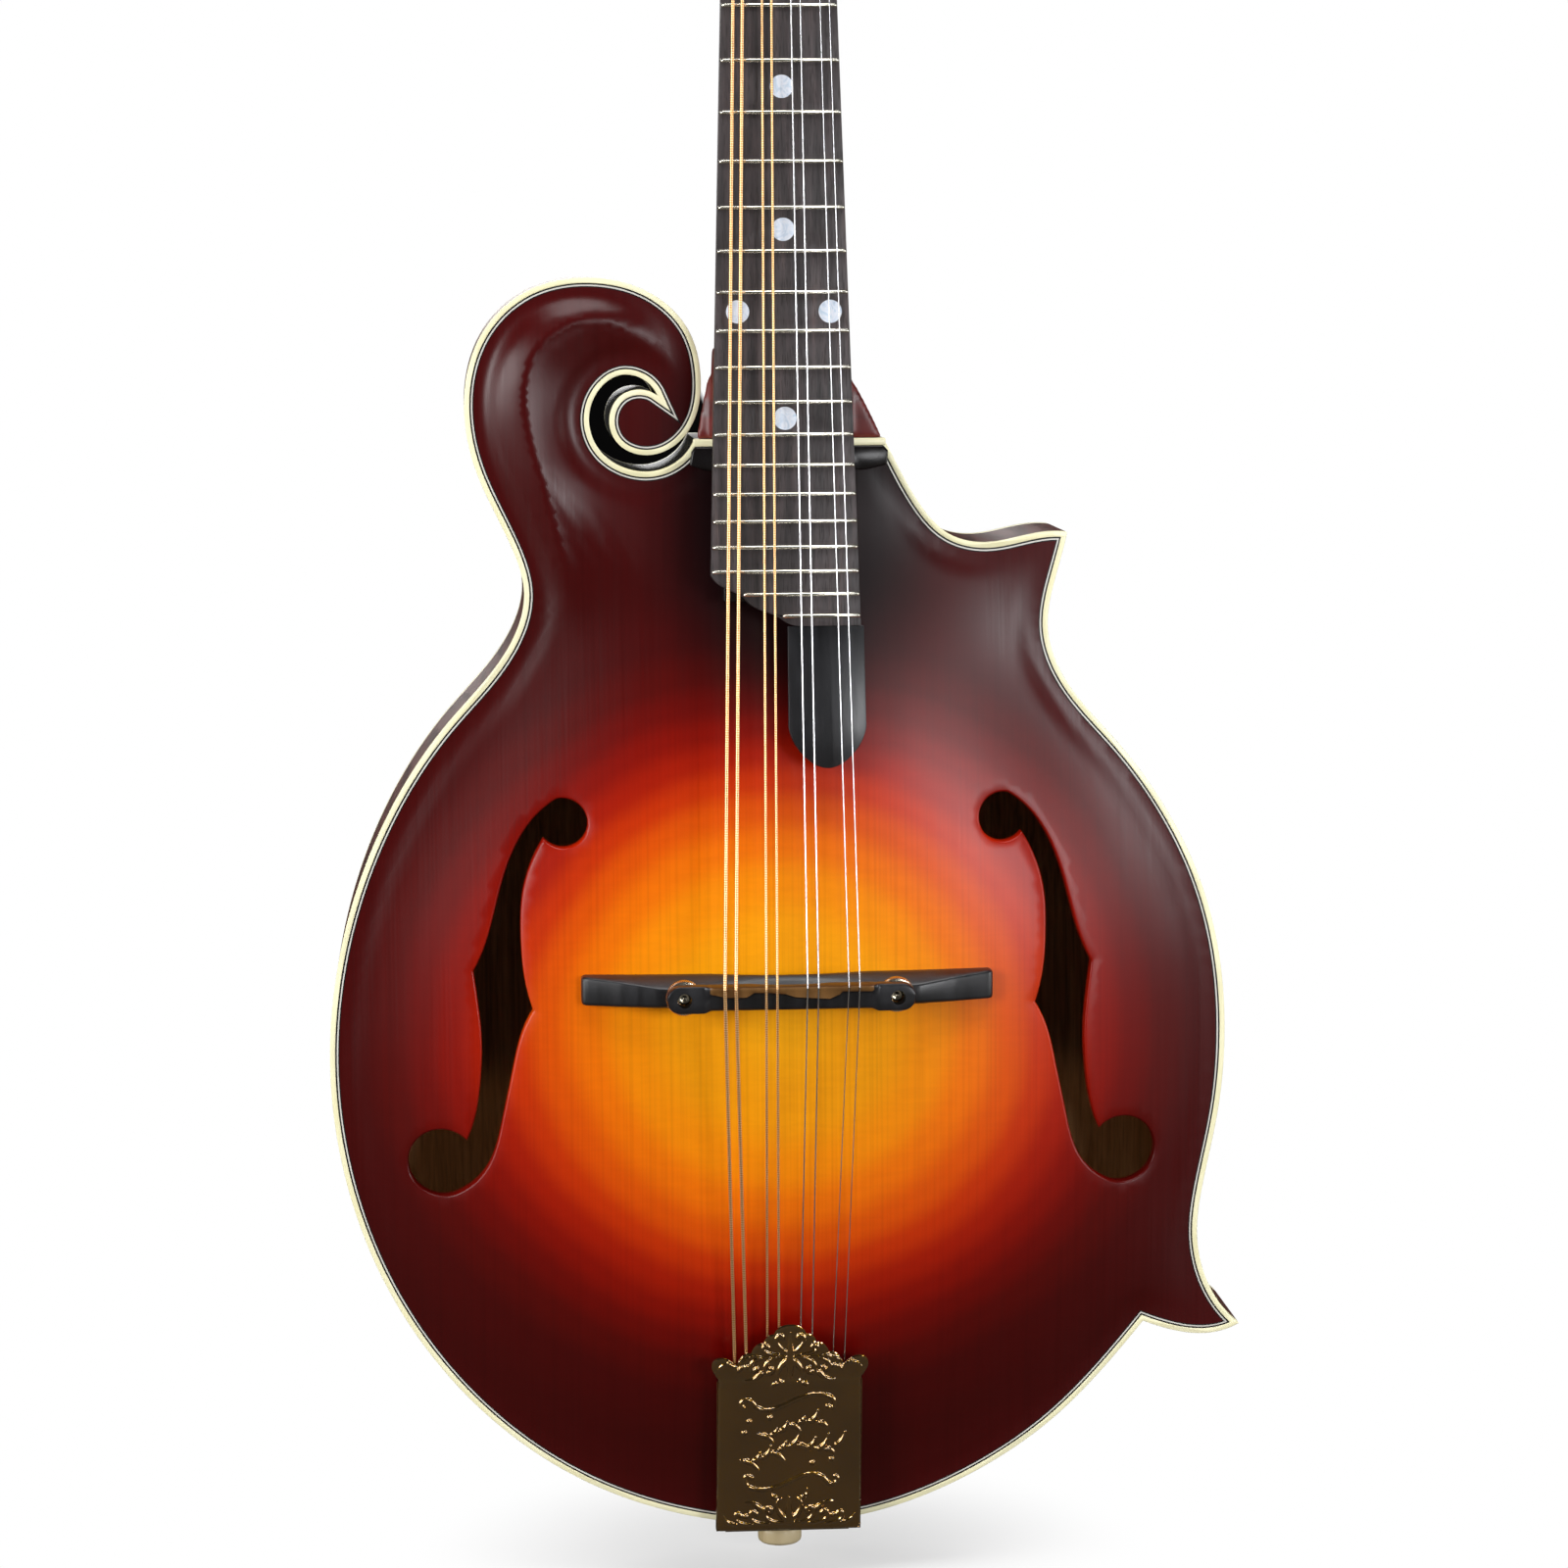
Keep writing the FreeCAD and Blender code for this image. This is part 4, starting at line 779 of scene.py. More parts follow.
def fill(loops, spacing=None, lines=(), fine=None):
    """Triangles between closed 2-D loops, with free points at a spacing inside."""
    points, edges = [], []
    for closed, group in ((True, loops), (False, lines)):
        for loop in group:
            base = len(points)
            points += [tuple(p) for p in loop]
            count = len(loop)
            edges += [(base + i, base + (i + 1) % count)
                      for i in range(count if closed else count - 1)]
    if spacing:
        fixed = np.array(points)
        low, high = fixed.min(0), fixed.max(0)
        free = []
        for size, wanted in ((spacing, False), (fine[0] if fine else spacing, True)):
            rows = np.arange(low[1], high[1], size * 0.866)
            grid = [(x + (k % 2) * size / 2, z) for k, z in enumerate(rows)
                    for x in np.arange(low[0], high[0], size)]
            grid = np.array(grid)
            if fine:
                grid = grid[fine[1](grid) == wanted]
            elif wanted:
                continue
            grid = grid[inside(grid, loops)]
            grid = grid[nearest(grid, fixed)[0] > 0.62 * size]
            free += grid.tolist()
        points += [tuple(p) for p in free]
    found = geometry.delaunay_2d_cdt([Vector(p) for p in points], edges, [], 0, 1e-5)
    flat = np.array([tuple(v) for v in found[0]])
    tris = np.array([f for f in found[2] if len(f) == 3])
    a, b, c = flat[tris[:, 0]], flat[tris[:, 1]], flat[tris[:, 2]]
    area = (b[:, 0] - a[:, 0]) * (c[:, 1] - a[:, 1]) - (b[:, 1] - a[:, 1]) * (c[:, 0] - a[:, 0])
    tris[area < 0] = tris[area < 0][:, ::-1]
    good = inside((a + b + c) / 3, loops) & (abs(area) > 1e-7)
    return flat, tris[good]


def thick(flat, tris, y_low, y_high):
    """A closed solid between two depths, each a number or one for each point."""
    count = len(flat)
    verts = np.zeros((2 * count, 3))
    verts[:count, 0] = verts[count:, 0] = flat[:, 0]
    verts[:count, 2] = verts[count:, 2] = flat[:, 1]
    verts[:count, 1], verts[count:, 1] = y_low, y_high
    faces = [tuple(t) for t in tris] + [tuple(t[::-1] + count) for t in tris]
    ways = {(t[i], t[(i + 1) % 3]) for t in tris.tolist() for i in range(3)}
    faces += [(b, a, a + count, b + count) for a, b in ways if (b, a) not in ways]
    used = sorted({i for f in faces for i in f})
    renumber = {old: new for new, old in enumerate(used)}
    return verts[used], [tuple(renumber[i] for i in f) for f in faces]


def slab(loops, y_low, y_high):
    return thick(*fill(loops), y_low, y_high)


def loft(rings):
    """Skin over rings of equal length, with both ends capped."""
    rings = [np.asarray(r, float) for r in rings]
    size = len(rings[0])
    verts = np.concatenate(rings)
    faces = []
    for k in range(len(rings) - 1):
        a, b = k * size, (k + 1) * size
        faces += [(a + i, a + (i + 1) % size, b + (i + 1) % size, b + i) for i in range(size)]
    faces.append(tuple(range(size))[::-1])
    faces.append(tuple((len(rings) - 1) * size + i for i in range(size)))
    return verts, faces


def tube(path, radius, sides):
    """A round tube along a path, its radius one number or one for each point."""
    p = np.array(path, float)
    radius = np.broadcast_to(radius, len(p))
    way = np.gradient(p, axis=0)
    way /= np.linalg.norm(way, axis=1)[:, None]
    side = np.cross(way[0], (0, 0, 1) if abs(way[0][2]) < 0.9 else (1, 0, 0))
    rings = []
    angles = np.linspace(0, 2 * math.pi, sides, endpoint=False)
    for centre, direction, r in zip(p, way, radius):
        side = side - direction * (side @ direction)
        side /= np.linalg.norm(side)
        other = np.cross(direction, side)
        rings.append([centre + r * (math.cos(a) * side + math.sin(a) * other) for a in angles])
    return loft(rings)


def turned(profile, start, way, segments, wave=None):
    """A lathe form: (radius, distance along the axis) points round an axis."""
    way = np.array(way, float) / np.linalg.norm(way)
    side = np.cross(way, (0, 0, 1) if abs(way[2]) < 0.9 else (1, 0, 0))
    side /= np.linalg.norm(side)
    other = np.cross(way, side)
    angles = np.linspace(0, 2 * math.pi, segments, endpoint=False)
    rings = []
    for radius, along in profile:
        middle = np.array(start) + way * along
        rings.append([middle + (radius + (wave(a, radius) if wave else 0))
                      * (math.cos(a) * side + math.sin(a) * other) for a in angles])
    return loft(rings)


def block(x0, x1, y0, y1, z0, z1):
    ring = [(x0, z0), (x1, z0), (x1, z1), (x0, z1)]
    return loft([[(x, y1, z) for x, z in ring], [(x, y0, z) for x, z in ring]])


def softened(piece, width):
    """Rounds a piece's sharp edges."""
    mesh = piece.data
    work = bmesh.new()
    work.from_mesh(mesh)
    bevel_edges(work, width, 2, 40)
    work.to_mesh(mesh)
    work.free()
    mesh.polygons.foreach_set("use_smooth", [True] * len(mesh.polygons))
    mesh.set_sharp_from_angle(angle=math.radians(50))
    return piece


def bevel_edges(work, width, segments, angle):
    bmesh.ops.dissolve_limit(work, angle_limit=math.radians(0.6), verts=work.verts[:],
                             edges=work.edges[:])
    sharp = [e for e in work.edges if len(e.link_faces) == 2
             and e.calc_face_angle(0) > math.radians(angle)]
    bmesh.ops.bevel(work, geom=sharp, offset=width * MM, segments=segments, profile=0.5,
                    affect="EDGES", clamp_overlap=True)


def refined(node, material, width=0.25, segments=2, angle=40, other=None, sharp=35):
    """A copy of a CAD node with clean rounded edges that stands for it."""
    source = frame["nodes"][node]
    work = bmesh.new()
    work.from_mesh(source.data)
    bmesh.ops.remove_doubles(work, verts=work.verts[:], dist=1e-6)
    if width:
        bevel_edges(work, width, segments, angle)
    mesh = bpy.data.meshes.new(node + "_look")
    work.to_mesh(mesh)
    work.free()
    mesh.materials.clear()
    mesh.materials.append(MATERIALS[material])
    mesh.polygons.foreach_set("material_index", [0] * len(mesh.polygons))
    if other:
        mesh.materials.append(MATERIALS[other[0]])
        for face in mesh.polygons:
            face.material_index = 1 if other[1](face.center / MM) else 0
    body = source["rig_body"]
    return placed(node + "_look", mesh, body, (node,), sharp)


# ---- frames of the neck and the head --------------------------------------------------------
def turn_x(degrees, pivot):
    a = math.radians(degrees)
    out = np.eye(4)
    out[1:3, 1:3] = [[math.cos(a), -math.sin(a)], [math.sin(a), math.cos(a)]]
    out[:3, 3] = np.array(pivot) - out[:3, :3] @ np.array(pivot)
    return out


def shift(x, y, z):
    out = np.eye(4)
    out[:3, 3] = (x, y, z)
    return out


ON_NECK = turn_x(NECK_LEAN, (0, NUT_Y, NUT_Z)) @ shift(0, NUT_Y, NUT_Z)
ON_HEAD = ON_NECK @ turn_x(HEAD_LEAN, (0, -2.2, 4.6)) @ shift(0, -2.2, 4.6)
OFF_HEAD = np.linalg.inv(ON_HEAD)


def through(matrix, point):
    return (matrix @ np.array([*point, 1.0]))[:3]


def board_half(s):
    return (NUT_WIDTH + BOARD_TAPER * s) / 2


def fret_place(n):
    return SCALE_LENGTH * (1 - 2 ** (-n / 12))


def post_place(number):
    """Side and distance from the head's foot of tuner 1 to 8."""
    side = -1 if number <= 4 else 1
    return side, TUNER_FIRST + TUNER_STEP * ((number - 1) % 4)


# ---- body -----------------------------------------------------------------------------------
F_HOLE = [("curve", [(66.4, 210.7), (70.0, 203.8), (72.6, 194.0), (73.0, 184.3), (72.4, 174.2),
                     (69.8, 163.2)]),
          ("curve", [(69.8, 163.2), (73.4, 155.5), (75.8, 145.5), (78.6, 132.5), (82.0, 120.5),
                     (90.6, 111.4)]),
          ("arc", [(90.6, 111.4), (105.0, 119.6), (88.6, 126.2)]),
          ("curve", [(88.6, 126.2), (86.0, 134.0), (84.6, 143.5), (84.1, 154.0), (84.9, 164.0),
                     (86.2, 173.9)]),
          ("curve", [(86.2, 173.9), (82.6, 182.0), (79.8, 192.0), (76.4, 203.5), (71.5, 213.2),
                     (62.6, 221.7)]),
          ("arc", [(62.6, 221.7), (54.2, 215.0), (66.4, 210.7)])]


def in_scroll(p):
    return (p[:, 0] < -18) & (p[:, 1] > 285)


def make_top():
    """The carved front, its sound holes with a slightly rounded edge."""
    hole = [run(p, 0.9) if kind == "curve" else arc(p) for kind, p in F_HOLE]
    rings = [np.array(loop_of(inset(hole, d))) for d in (0.0, 0.25, 0.6)]
    loops = [loop_of(inset(OUTLINE, 2.5))]
    holes = []
    lines = [CREST_LINE[6:-3]]
    for side in (-1, 1):
        holes.append([(side * x, z) for x, z in rings[0]])
        for ring in rings[1:]:
            closed = [(side * x, z) for x, z in ring]
            lines.append(closed + closed[:1])
    flat, tris = fill(loops + holes, 2.3, lines, (1.3, in_scroll))
    front = FRONT - height(flat, TOP_ARCH)
    front += np.interp(nearest(flat, np.concatenate(holes))[0], [0, 0.25, 0.6], [0.42, 0.12, 0])
    under = np.minimum(front + PLATE, FRONT + EDGE)
    Shape().add(thick(flat, tris, front, under)).piece(
        "carved_top", ["spruce"], slot="spruce", nodes=["top_plate"], sharp=50)


def make_back():
    flat, tris = fill([loop_of(inset(OUTLINE, 1.5))], 2.6, [CREST_LINE[6:-3]], (1.4, in_scroll))
    outer = BACK + height(flat, BACK_ARCH)
    shape = Shape().add(thick(flat, tris, np.maximum(outer - PLATE, BACK - EDGE), outer))
    tab = run([(-16.0, PLATE_END - 1.5), (-15.0, 327.0), (-9.0, 333.5), (0.0, 335.5), (9.0, 333.5),
               (15.0, 327.0), (16.0, PLATE_END - 1.5)])
    shape.add(slab([tab], BACK - EDGE, BACK))
    piece = shape.piece("carved_back", ["maple_back", "back_inside"], slot="maple",
                        nodes=["back_plate"], sharp=50)
    for face in piece.data.polygons:
        face.material_index = int(face.normal.y < -0.5)


def make_edges():
    def ring(outer, inner, y_low, y_high):
        return slab([loop_of(inset(OUTLINE, outer)), loop_of(inset(OUTLINE, inner))], y_low, y_high)

    binding = Shape().add(ring(0, 1.5, FRONT, FRONT + EDGE)).piece(
        "binding_front", ["cream_plastic"], slot="cream_plastic", nodes=["top_binding"])
    softened(binding, 0.35)
    strip = Shape().add(block(-23.8, 29.2, FRONT - 3.5, FRONT + 1.0, PLATE_END - 2.0, PLATE_END))
    softened(strip.piece("binding_neck_end", ["cream_plastic"], slot="cream_plastic"), 0.3)
    back = Shape().add(ring(0, 1.5, BACK - EDGE, BACK)).piece(
        "binding_back", ["cream_plastic"], slot="cream_plastic", nodes=["back_binding"])
    softened(back, 0.35)
    for name, outer, inner, proud, plastic, nodes in (
            ("line_black", 1.5, 1.9, 0.02, "black_plastic", ["top_line_black"]),
            ("line_white", 1.9, 2.3, 0.02, "white_plastic", ["top_line_white"]),
            ("line_black_inner", 2.3, 2.6, 0.04, "black_plastic", [])):
        Shape().add(ring(outer, inner, FRONT - proud, FRONT + 2)).piece(
            name, [plastic], slot=plastic, nodes=nodes)


SLOT_LINE = run(SLOT_SIDE) + run(BASS_SIDE[27:])


def make_ribs():
    """The sides, black inside the scroll's slot."""
    flat, tris = fill([loop_of(OUTLINE), loop_of(inset(OUTLINE, 2.0))])
    shape = Shape().add(thick(flat, tris, FRONT + EDGE - 0.02, BACK - EDGE + 0.02))
    piece = shape.piece("sides", ["maple_rib", "black_lacquer"], slot="maple", nodes=["ribs"],
                        sharp=50)
    # Rib faces close to the slot's edge take the black material.
    for face in piece.data.polygons:
        x, _, z = face.center / MM
        in_slot = -53.5 < x < -24 and 309.5 < z <= 338.5
        gap = min(math.hypot(x - a, z - b) for a, b in SLOT_LINE)
        face.material_index = int(in_slot and gap < 1.5)


# ---- neck and board -------------------------------------------------------------------------
def make_neck():
    """The CAD neck, remeshed and smoothed so that heel, shaft and head flow into each other."""
    source = frame["nodes"]["neck"]
    mesh = source.data.copy()
    mesh.name = "neck_look"
    obj = bpy.data.objects.new("neck_look", mesh)
    bpy.context.scene.collection.objects.link(obj)
    remesh = obj.modifiers.new("remesh", "REMESH")
    remesh.mode = "VOXEL"
    remesh.voxel_size = 0.8 * MM
    even = obj.modifiers.new("even", "SMOOTH")
    even.factor = 0.5
    even.iterations = 9
    graph = bpy.context.evaluated_depsgraph_get()
    final = bpy.data.meshes.new_from_object(obj.evaluated_get(graph))
    bpy.data.objects.remove(obj)
    final.materials.clear()
    final.materials.append(MATERIALS["maple_neck"])
    final.polygons.foreach_set("material_index", [0] * len(final.polygons))
    final.name = "neck_look"
    placed("neck_look", final, "body", ("neck",), 80)


def make_frets():
    """Crowned wire with its ends filed back."""
    shape = Shape()
    for n in range(1, 23):
        s = fret_place(n)
        half = board_half(s) - 0.05
        left = STEPPED_FRETS.get(n, -half)
        rings = []
        for x, scale in ((left, 0.25), (left + 0.25, 0.62), (left + 0.75, 1.0), (half - 0.75, 1.0),
                         (half - 0.25, 0.62), (half, 0.25)):
            rings.append([(x, -BOARD + 0.15 - (0.15 + 0.98 * scale) * math.sin(a),
                           -s - 0.66 * math.cos(a) * (0.7 + 0.3 * scale))
                          for a in np.linspace(0, math.pi, 9)])
        shape.add(loft(rings), 0, ON_NECK)
    shape.piece("fret_set", ["fret_wire"], slot="fret_wire", nodes=["frets"], sharp=60)


# ---- bridge ---------------------------------------------------------------------------------
def rounded_ends(half, steps):
    """Stations from end to end, close together at the ends."""
    inner = np.linspace(-half + 1.2, half - 1.2, steps)
    return np.concatenate([[-half, -half + 0.15, -half + 0.5], inner,
                           [half - 0.5, half - 0.15, half]])


def make_bridge_base():
    """A foot that follows the arch, with two wings, hollowed under the strings."""
    half = 57.0
    rings = []
    for x in rounded_ends(half, 115):
        out = abs(x)
        end = max(0.0, 1.2 - (half - out))
        drop = 1.2 - math.sqrt(max(0.0, 1.44 - end * end))
        wing = float(np.interp(out, [30, 36, 46, 57], [0, 0.12, 0.62, 1.0]))
        top = float(np.interp(out, [36, 46, 57], [-44.6, -42.2, -38.6])) + drop
        ground = FRONT - float(height([(x + CENTRE, 169.0)], TOP_ARCH)[0]) + 0.5
        if out < 21.8:
            ground = min(ground, 19.0 - math.sqrt(3600 - out * out))
        north = 170.4 + 2.8 * wing - drop * 0.7
        south = 165.3 + drop * 0.7
        heel = 173.3 + 0.1 * wing - drop
        toe = 164.3 + 0.9 * wing + drop
        body = ground - top
        rings.append([(x + CENTRE, y, z) for y, z in (
            (ground, toe), (ground - 0.35 * body, toe + 0.1),
            (top + 0.22 * body, 0.5 * (toe + south)),
            (top + 0.35, south + 0.05), (top + 0.08, south + 0.4), (top, south + 0.9),
            (top - 0.1, (south + north) / 2), (top, north - 0.9), (top + 0.08, north - 0.4),
            (top + 0.35, north - 0.02), (top + 0.35 * body, north + 0.5 * (heel - north)),
            (ground - 0.40 * body, heel - 0.15), (ground - 0.2 * body, heel), (ground, heel))])
    Shape().add(loft(rings)).piece("bridge_foot", ["ebony"], slot="ebony",
                                   nodes=["bridge_base"], sharp=50)


def make_saddle():
    """The saddle: a knob at each end over its post, and a crown stepped for each string."""
    mid, half, lobe = 168.6, 34.1, 3.8
    zig_x = [-22.5, -21.0, -18.6, -12.5, -10.3, -5.8, -1.8, 0.9, 10.3, 13.0, 13.8, 22.5]
    zig_z = [170.2, 170.1, 169.4, 169.3, 170.6, 170.5, 170.1, 169.2, 168.6, 169.8, 170.6, 170.5]
    rings = []
    for x in np.concatenate([np.linspace(-half, -half + 3, 10), np.linspace(-30.9, 30.9, 190),
                             np.linspace(half - 3, half, 10)]):
        out = abs(x)
        past = max(0.0, out - half + lobe)
        wide = math.sqrt(max(0.03, lobe ** 2 - past ** 2)) if past else lobe
        end = min(1.0, wide / 0.9)
        tail = min(0.5, wide * 0.4)
        knob = [(-49.05, mid - wide + tail * 0.5), (-49.6, mid - wide), (-52.6, mid - wide),
                (-53.1, mid - wide + 0.25 * tail), (-53.3, mid - wide + tail),
                (-53.32, mid - 0.3 * wide), (-53.34, mid + 0.2 * wide),
                (-53.32, mid + wide - 1.6 * tail), (-53.25, mid + wide - tail),
                (-53.0, mid + wide - 0.25 * tail), (-52.4, mid + wide), (-49.6, mid + wide),
                (-49.05, mid + wide - tail * 0.5)]
        zig = float(np.interp(x, zig_x, zig_z))
        belly = -25.4 - math.sqrt(max(0.0, 676 - x * x)) if out < 10.9 else -49.0
        crown = [(belly - 0.05, 166.0), (belly - 0.6, 165.6), (-52.2, 165.5), (-52.75, 165.9),
                 (-52.95, 166.5), (-53.15, zig - 1.1), (-53.35, zig - 0.45), (-54.35, zig + 0.05),
                 (-54.75, 171.1), (-55.06, 171.6), (-55.05, 172.1), (-54.2, 172.35),
                 (belly - 0.05, 172.3)]
        share = smooth(min(1.0, max(0.0, (out - 21.6) / 2.6)))
        rings.append([(x + CENTRE, a[0] * share + b[0] * (1 - share),
                       a[1] * share + b[1] * (1 - share)) for a, b in zip(knob, crown)])
        if end < 1:
            thinner = 0.55 + 0.45 * end
            rings[-1] = [(px, -51.2 + (y + 51.2) * thinner, z) for px, y, z in rings[-1]]
    obj = Shape().add(loft(rings)).piece("bridge_top", ["ebony", "ebony_amber_reflection"], "saddle", "ebony",
                                         ["bridge_saddle"], 42)
    # The middle of the crown's front faces takes a painted reflection of the amber top, brown on
    # the black saddle.
    for face in obj.data.polygons:
        middle = abs(face.center.x / MM - CENTRE) < 22.4
        face.material_index = int(middle and face.normal.y < -0.35 and face.center.y / MM < -54.2)
    drill = Shape()
    for side in (-1, 1):
        x = CENTRE + side * BRIDGE_POST_X
        drill.add(turned([(2.15, 0), (2.0, 0.4), (2.0, 7.2)], (x, -54.0, BRIDGE_POST_Z),
                         (0, 1, 0), 32))
    cutter = drill.piece("drill", ["ebony"], None)
    cut = obj.modifiers.new("cut", "BOOLEAN")
    cut.object, cut.solver = cutter, "EXACT"
    graph = bpy.context.evaluated_depsgraph_get()
    obj.data = bpy.data.meshes.new_from_object(obj.evaluated_get(graph))
    obj.modifiers.clear()
    bpy.data.objects.remove(cutter)
    obj.data.set_sharp_from_angle(angle=math.radians(42))


def make_wheels():
    """Knurled wheels, open in the middle for the posts."""
    size = 240

    def knurl(angle, radius):
        return -0.22 * (0.5 + 0.5 * math.cos(60 * angle)) if radius > 4.6 else 0.0

    profile = [(2.0, 0.1), (2.3, 0.0), (4.3, 0.0), (4.7, 0.1), (5.0, 0.45), (5.0, 2.05),
               (4.7, 2.4), (4.3, 2.5), (2.3, 2.5), (2.0, 2.4)]
    last = (len(profile) - 1) * size
    for side, name in ((-1, "bass"), (1, "treble")):
        start = (CENTRE + side * BRIDGE_POST_X, -48.9, BRIDGE_POST_Z)
        verts, faces = turned(profile, start, (0, 1, 0), size, knurl)
        bore = [(last + i, last + (i + 1) % size, (i + 1) % size, i) for i in range(size)]
        Shape().add((verts, faces[:-2] + bore)).piece(
            "thumbwheel_" + name + "_look", ["nickel"], "wheel_" + name, "nickel",
            ["thumbwheel_" + name], 30)


def make_posts():
    """The bridge's two threaded posts."""
    shape = Shape()
    for side in (-1, 1):
        profile = [(0.4, 0.35), (0.9, 0.0), (1.6, 0.0), (1.86, 0.25)]
        for k in range(18):
            profile += [(1.9, 0.4 + 0.46 * k), (1.74, 0.63 + 0.46 * k)]
        profile += [(1.86, 8.8), (0.5, 9.1)]
        start = (CENTRE + side * BRIDGE_POST_X, -48.6, BRIDGE_POST_Z)
        shape.add(turned(profile, start, (0, 1, 0), 28))
    shape.piece("bridge_screws", ["nickel"], slot="nickel", nodes=["bridge_posts"], sharp=50)


# ---- tailpiece ------------------------------------------------------------------------------
def strokes():
    """Leaves and curls for one half of the cover: points, start and end radius."""
    foot = [([(0.0, 15.6), (0.1, 19.0), (0.0, 22.8)], 1.05, 0.25),
            ([(0.9, 16.4), (2.9, 18.6), (3.3, 21.4), (2.2, 22.6)], 0.75, 0.25),
            ([(1.4, 15.2), (4.6, 15.6), (6.9, 17.6), (6.6, 19.6), (5.2, 19.4), (5.3, 18.4)],
             0.35, 0.6),
            ([(5.6, 15.0), (8.8, 15.3), (10.9, 17.0), (10.4, 18.6), (9.3, 18.0)], 0.3, 0.55),
            ([(8.2, 19.6), (10.2, 21.2), (12.4, 21.4)], 0.7, 0.2),
            ([(10.4, 14.8), (13.2, 15.2), (15.2, 16.8), (14.7, 18.2), (13.7, 17.5)], 0.28, 0.5),
            ([(15.0, 14.9), (17.2, 15.7), (18.4, 17.4)], 0.55, 0.2),
            ([(3.9, 22.9), (5.2, 24.0), (5.0, 25.4)], 0.55, 0.2),
            ([(12.2, 17.3), (12.3, 17.4)], 0.6, 0.6)]
    head = []
    for points, first, last in foot:
        head.append(([(x, 79.9 - z + 0.055 * (9 - x)) for x, z in points], first, last))
    crown = [([(0.0, 66.0), (0.0, 69.0), (0.0, 72.4)], 0.9, 0.2),
             ([(1.0, 66.6), (3.0, 68.2), (3.8, 70.6), (2.8, 71.6), (2.2, 70.8)], 0.35, 0.55),
             ([(3.2, 65.8), (6.0, 66.3), (7.6, 67.6), (7.0, 68.6), (6.2, 68.0)], 0.3, 0.5),
             ([(8.4, 64.9), (10.6, 65.4), (12.2, 64.4)], 0.5, 0.2),
             ([(15.6, 62.6), (18.4, 63.2), (20.0, 61.8)], 0.5, 0.25)]
    return foot + head + crown


def flourishes():
    """The middle: two waving sprays of leaves between two long curls."""
    curl = [(-13.0, 50.2), (-13.6, 51.6), (-12.2, 52.6), (-9.4, 50.4), (-5.6, 49.4), (-0.6, 51.2),
            (4.6, 53.4), (9.6, 53.6), (12.4, 51.6), (12.2, 49.8), (10.6, 50.2)]
    out = [(curl, 0.5, 0.5)]
    sprays = [([(-13.6, 34.4), (-8.6, 34.6), (-2.8, 37.4), (3.4, 38.6), (9.6, 37.2),
                (14.6, 39.8)], 11, 5.2),
              ([(-8.8, 42.2), (-4.4, 42.0), (0.4, 44.6), (5.2, 45.8), (10.4, 44.4)], 7, 3.8)]
    for low, count, leaf in sprays:
        path = np.array(run(low, 0.2))
        out.append((low, 0.3, 0.2))
        for k in range(count):
            at = path[int((k + 0.5) / count * (len(path) - 1))]
            size = leaf * (0.72 + 0.28 * math.cos(2.4 * k))
            rise = (0.50, 0.86) if k % 3 else (0.72, -0.60)
            tip = at + size * np.array(rise)
            bend = at + 0.5 * size * np.array([rise[0] + 0.22, rise[1] * 0.92])
            out.append(([tuple(at), tuple(bend), tuple(tip)], 0.66, 0.3))
    out += [([(-x, 79.2 - z) for x, z in line], a, b) for line, a, b in out[:1]]
    for x, z in ((-11.4, 46.0), (-12.8, 42.6), (11.8, 34.2), (6.4, 33.2), (-5.6, 47.0)):
        out.append(([(x, z), (x + 0.1, z)], 0.6, 0.6))
    return out


def emboss(points, wider=0.0):
    """Relief height of the ornament at (x, z) points, each stroke wider by the given amount."""
    relief = np.zeros(len(points))
    lines = [(line, a, b) for line, a, b in flourishes()]
    for line, a, b in strokes():
        lines.append((line, a, b))
        lines.append(([(-x, z) for x, z in line], a, b))
    for line, first, last in lines:
        path = np.array(run(line, 0.25) if len(line) > 2 else line)
        low, high = path.min(0) - 1.6, path.max(0) + 1.6
        part = np.all((points > low) & (points < high), axis=1)
        if not part.any():
            continue
        gap, which = nearest(points[part], path)
        share = which / max(1, len(path) - 1)
        radius = (first + (last - first) * share) * 1.3 + wider
        bulge = np.clip(1 - (gap / radius) ** 2, 0, 1) ** 0.7
        relief[part] = np.maximum(relief[part], bulge * np.minimum(0.7, radius * 0.8))
    return relief


def cover_front(z):
    """Depth of the cover's sloping face."""
    return COVER_Y - COVER_SLOPE * (z - COVER_FOOT)


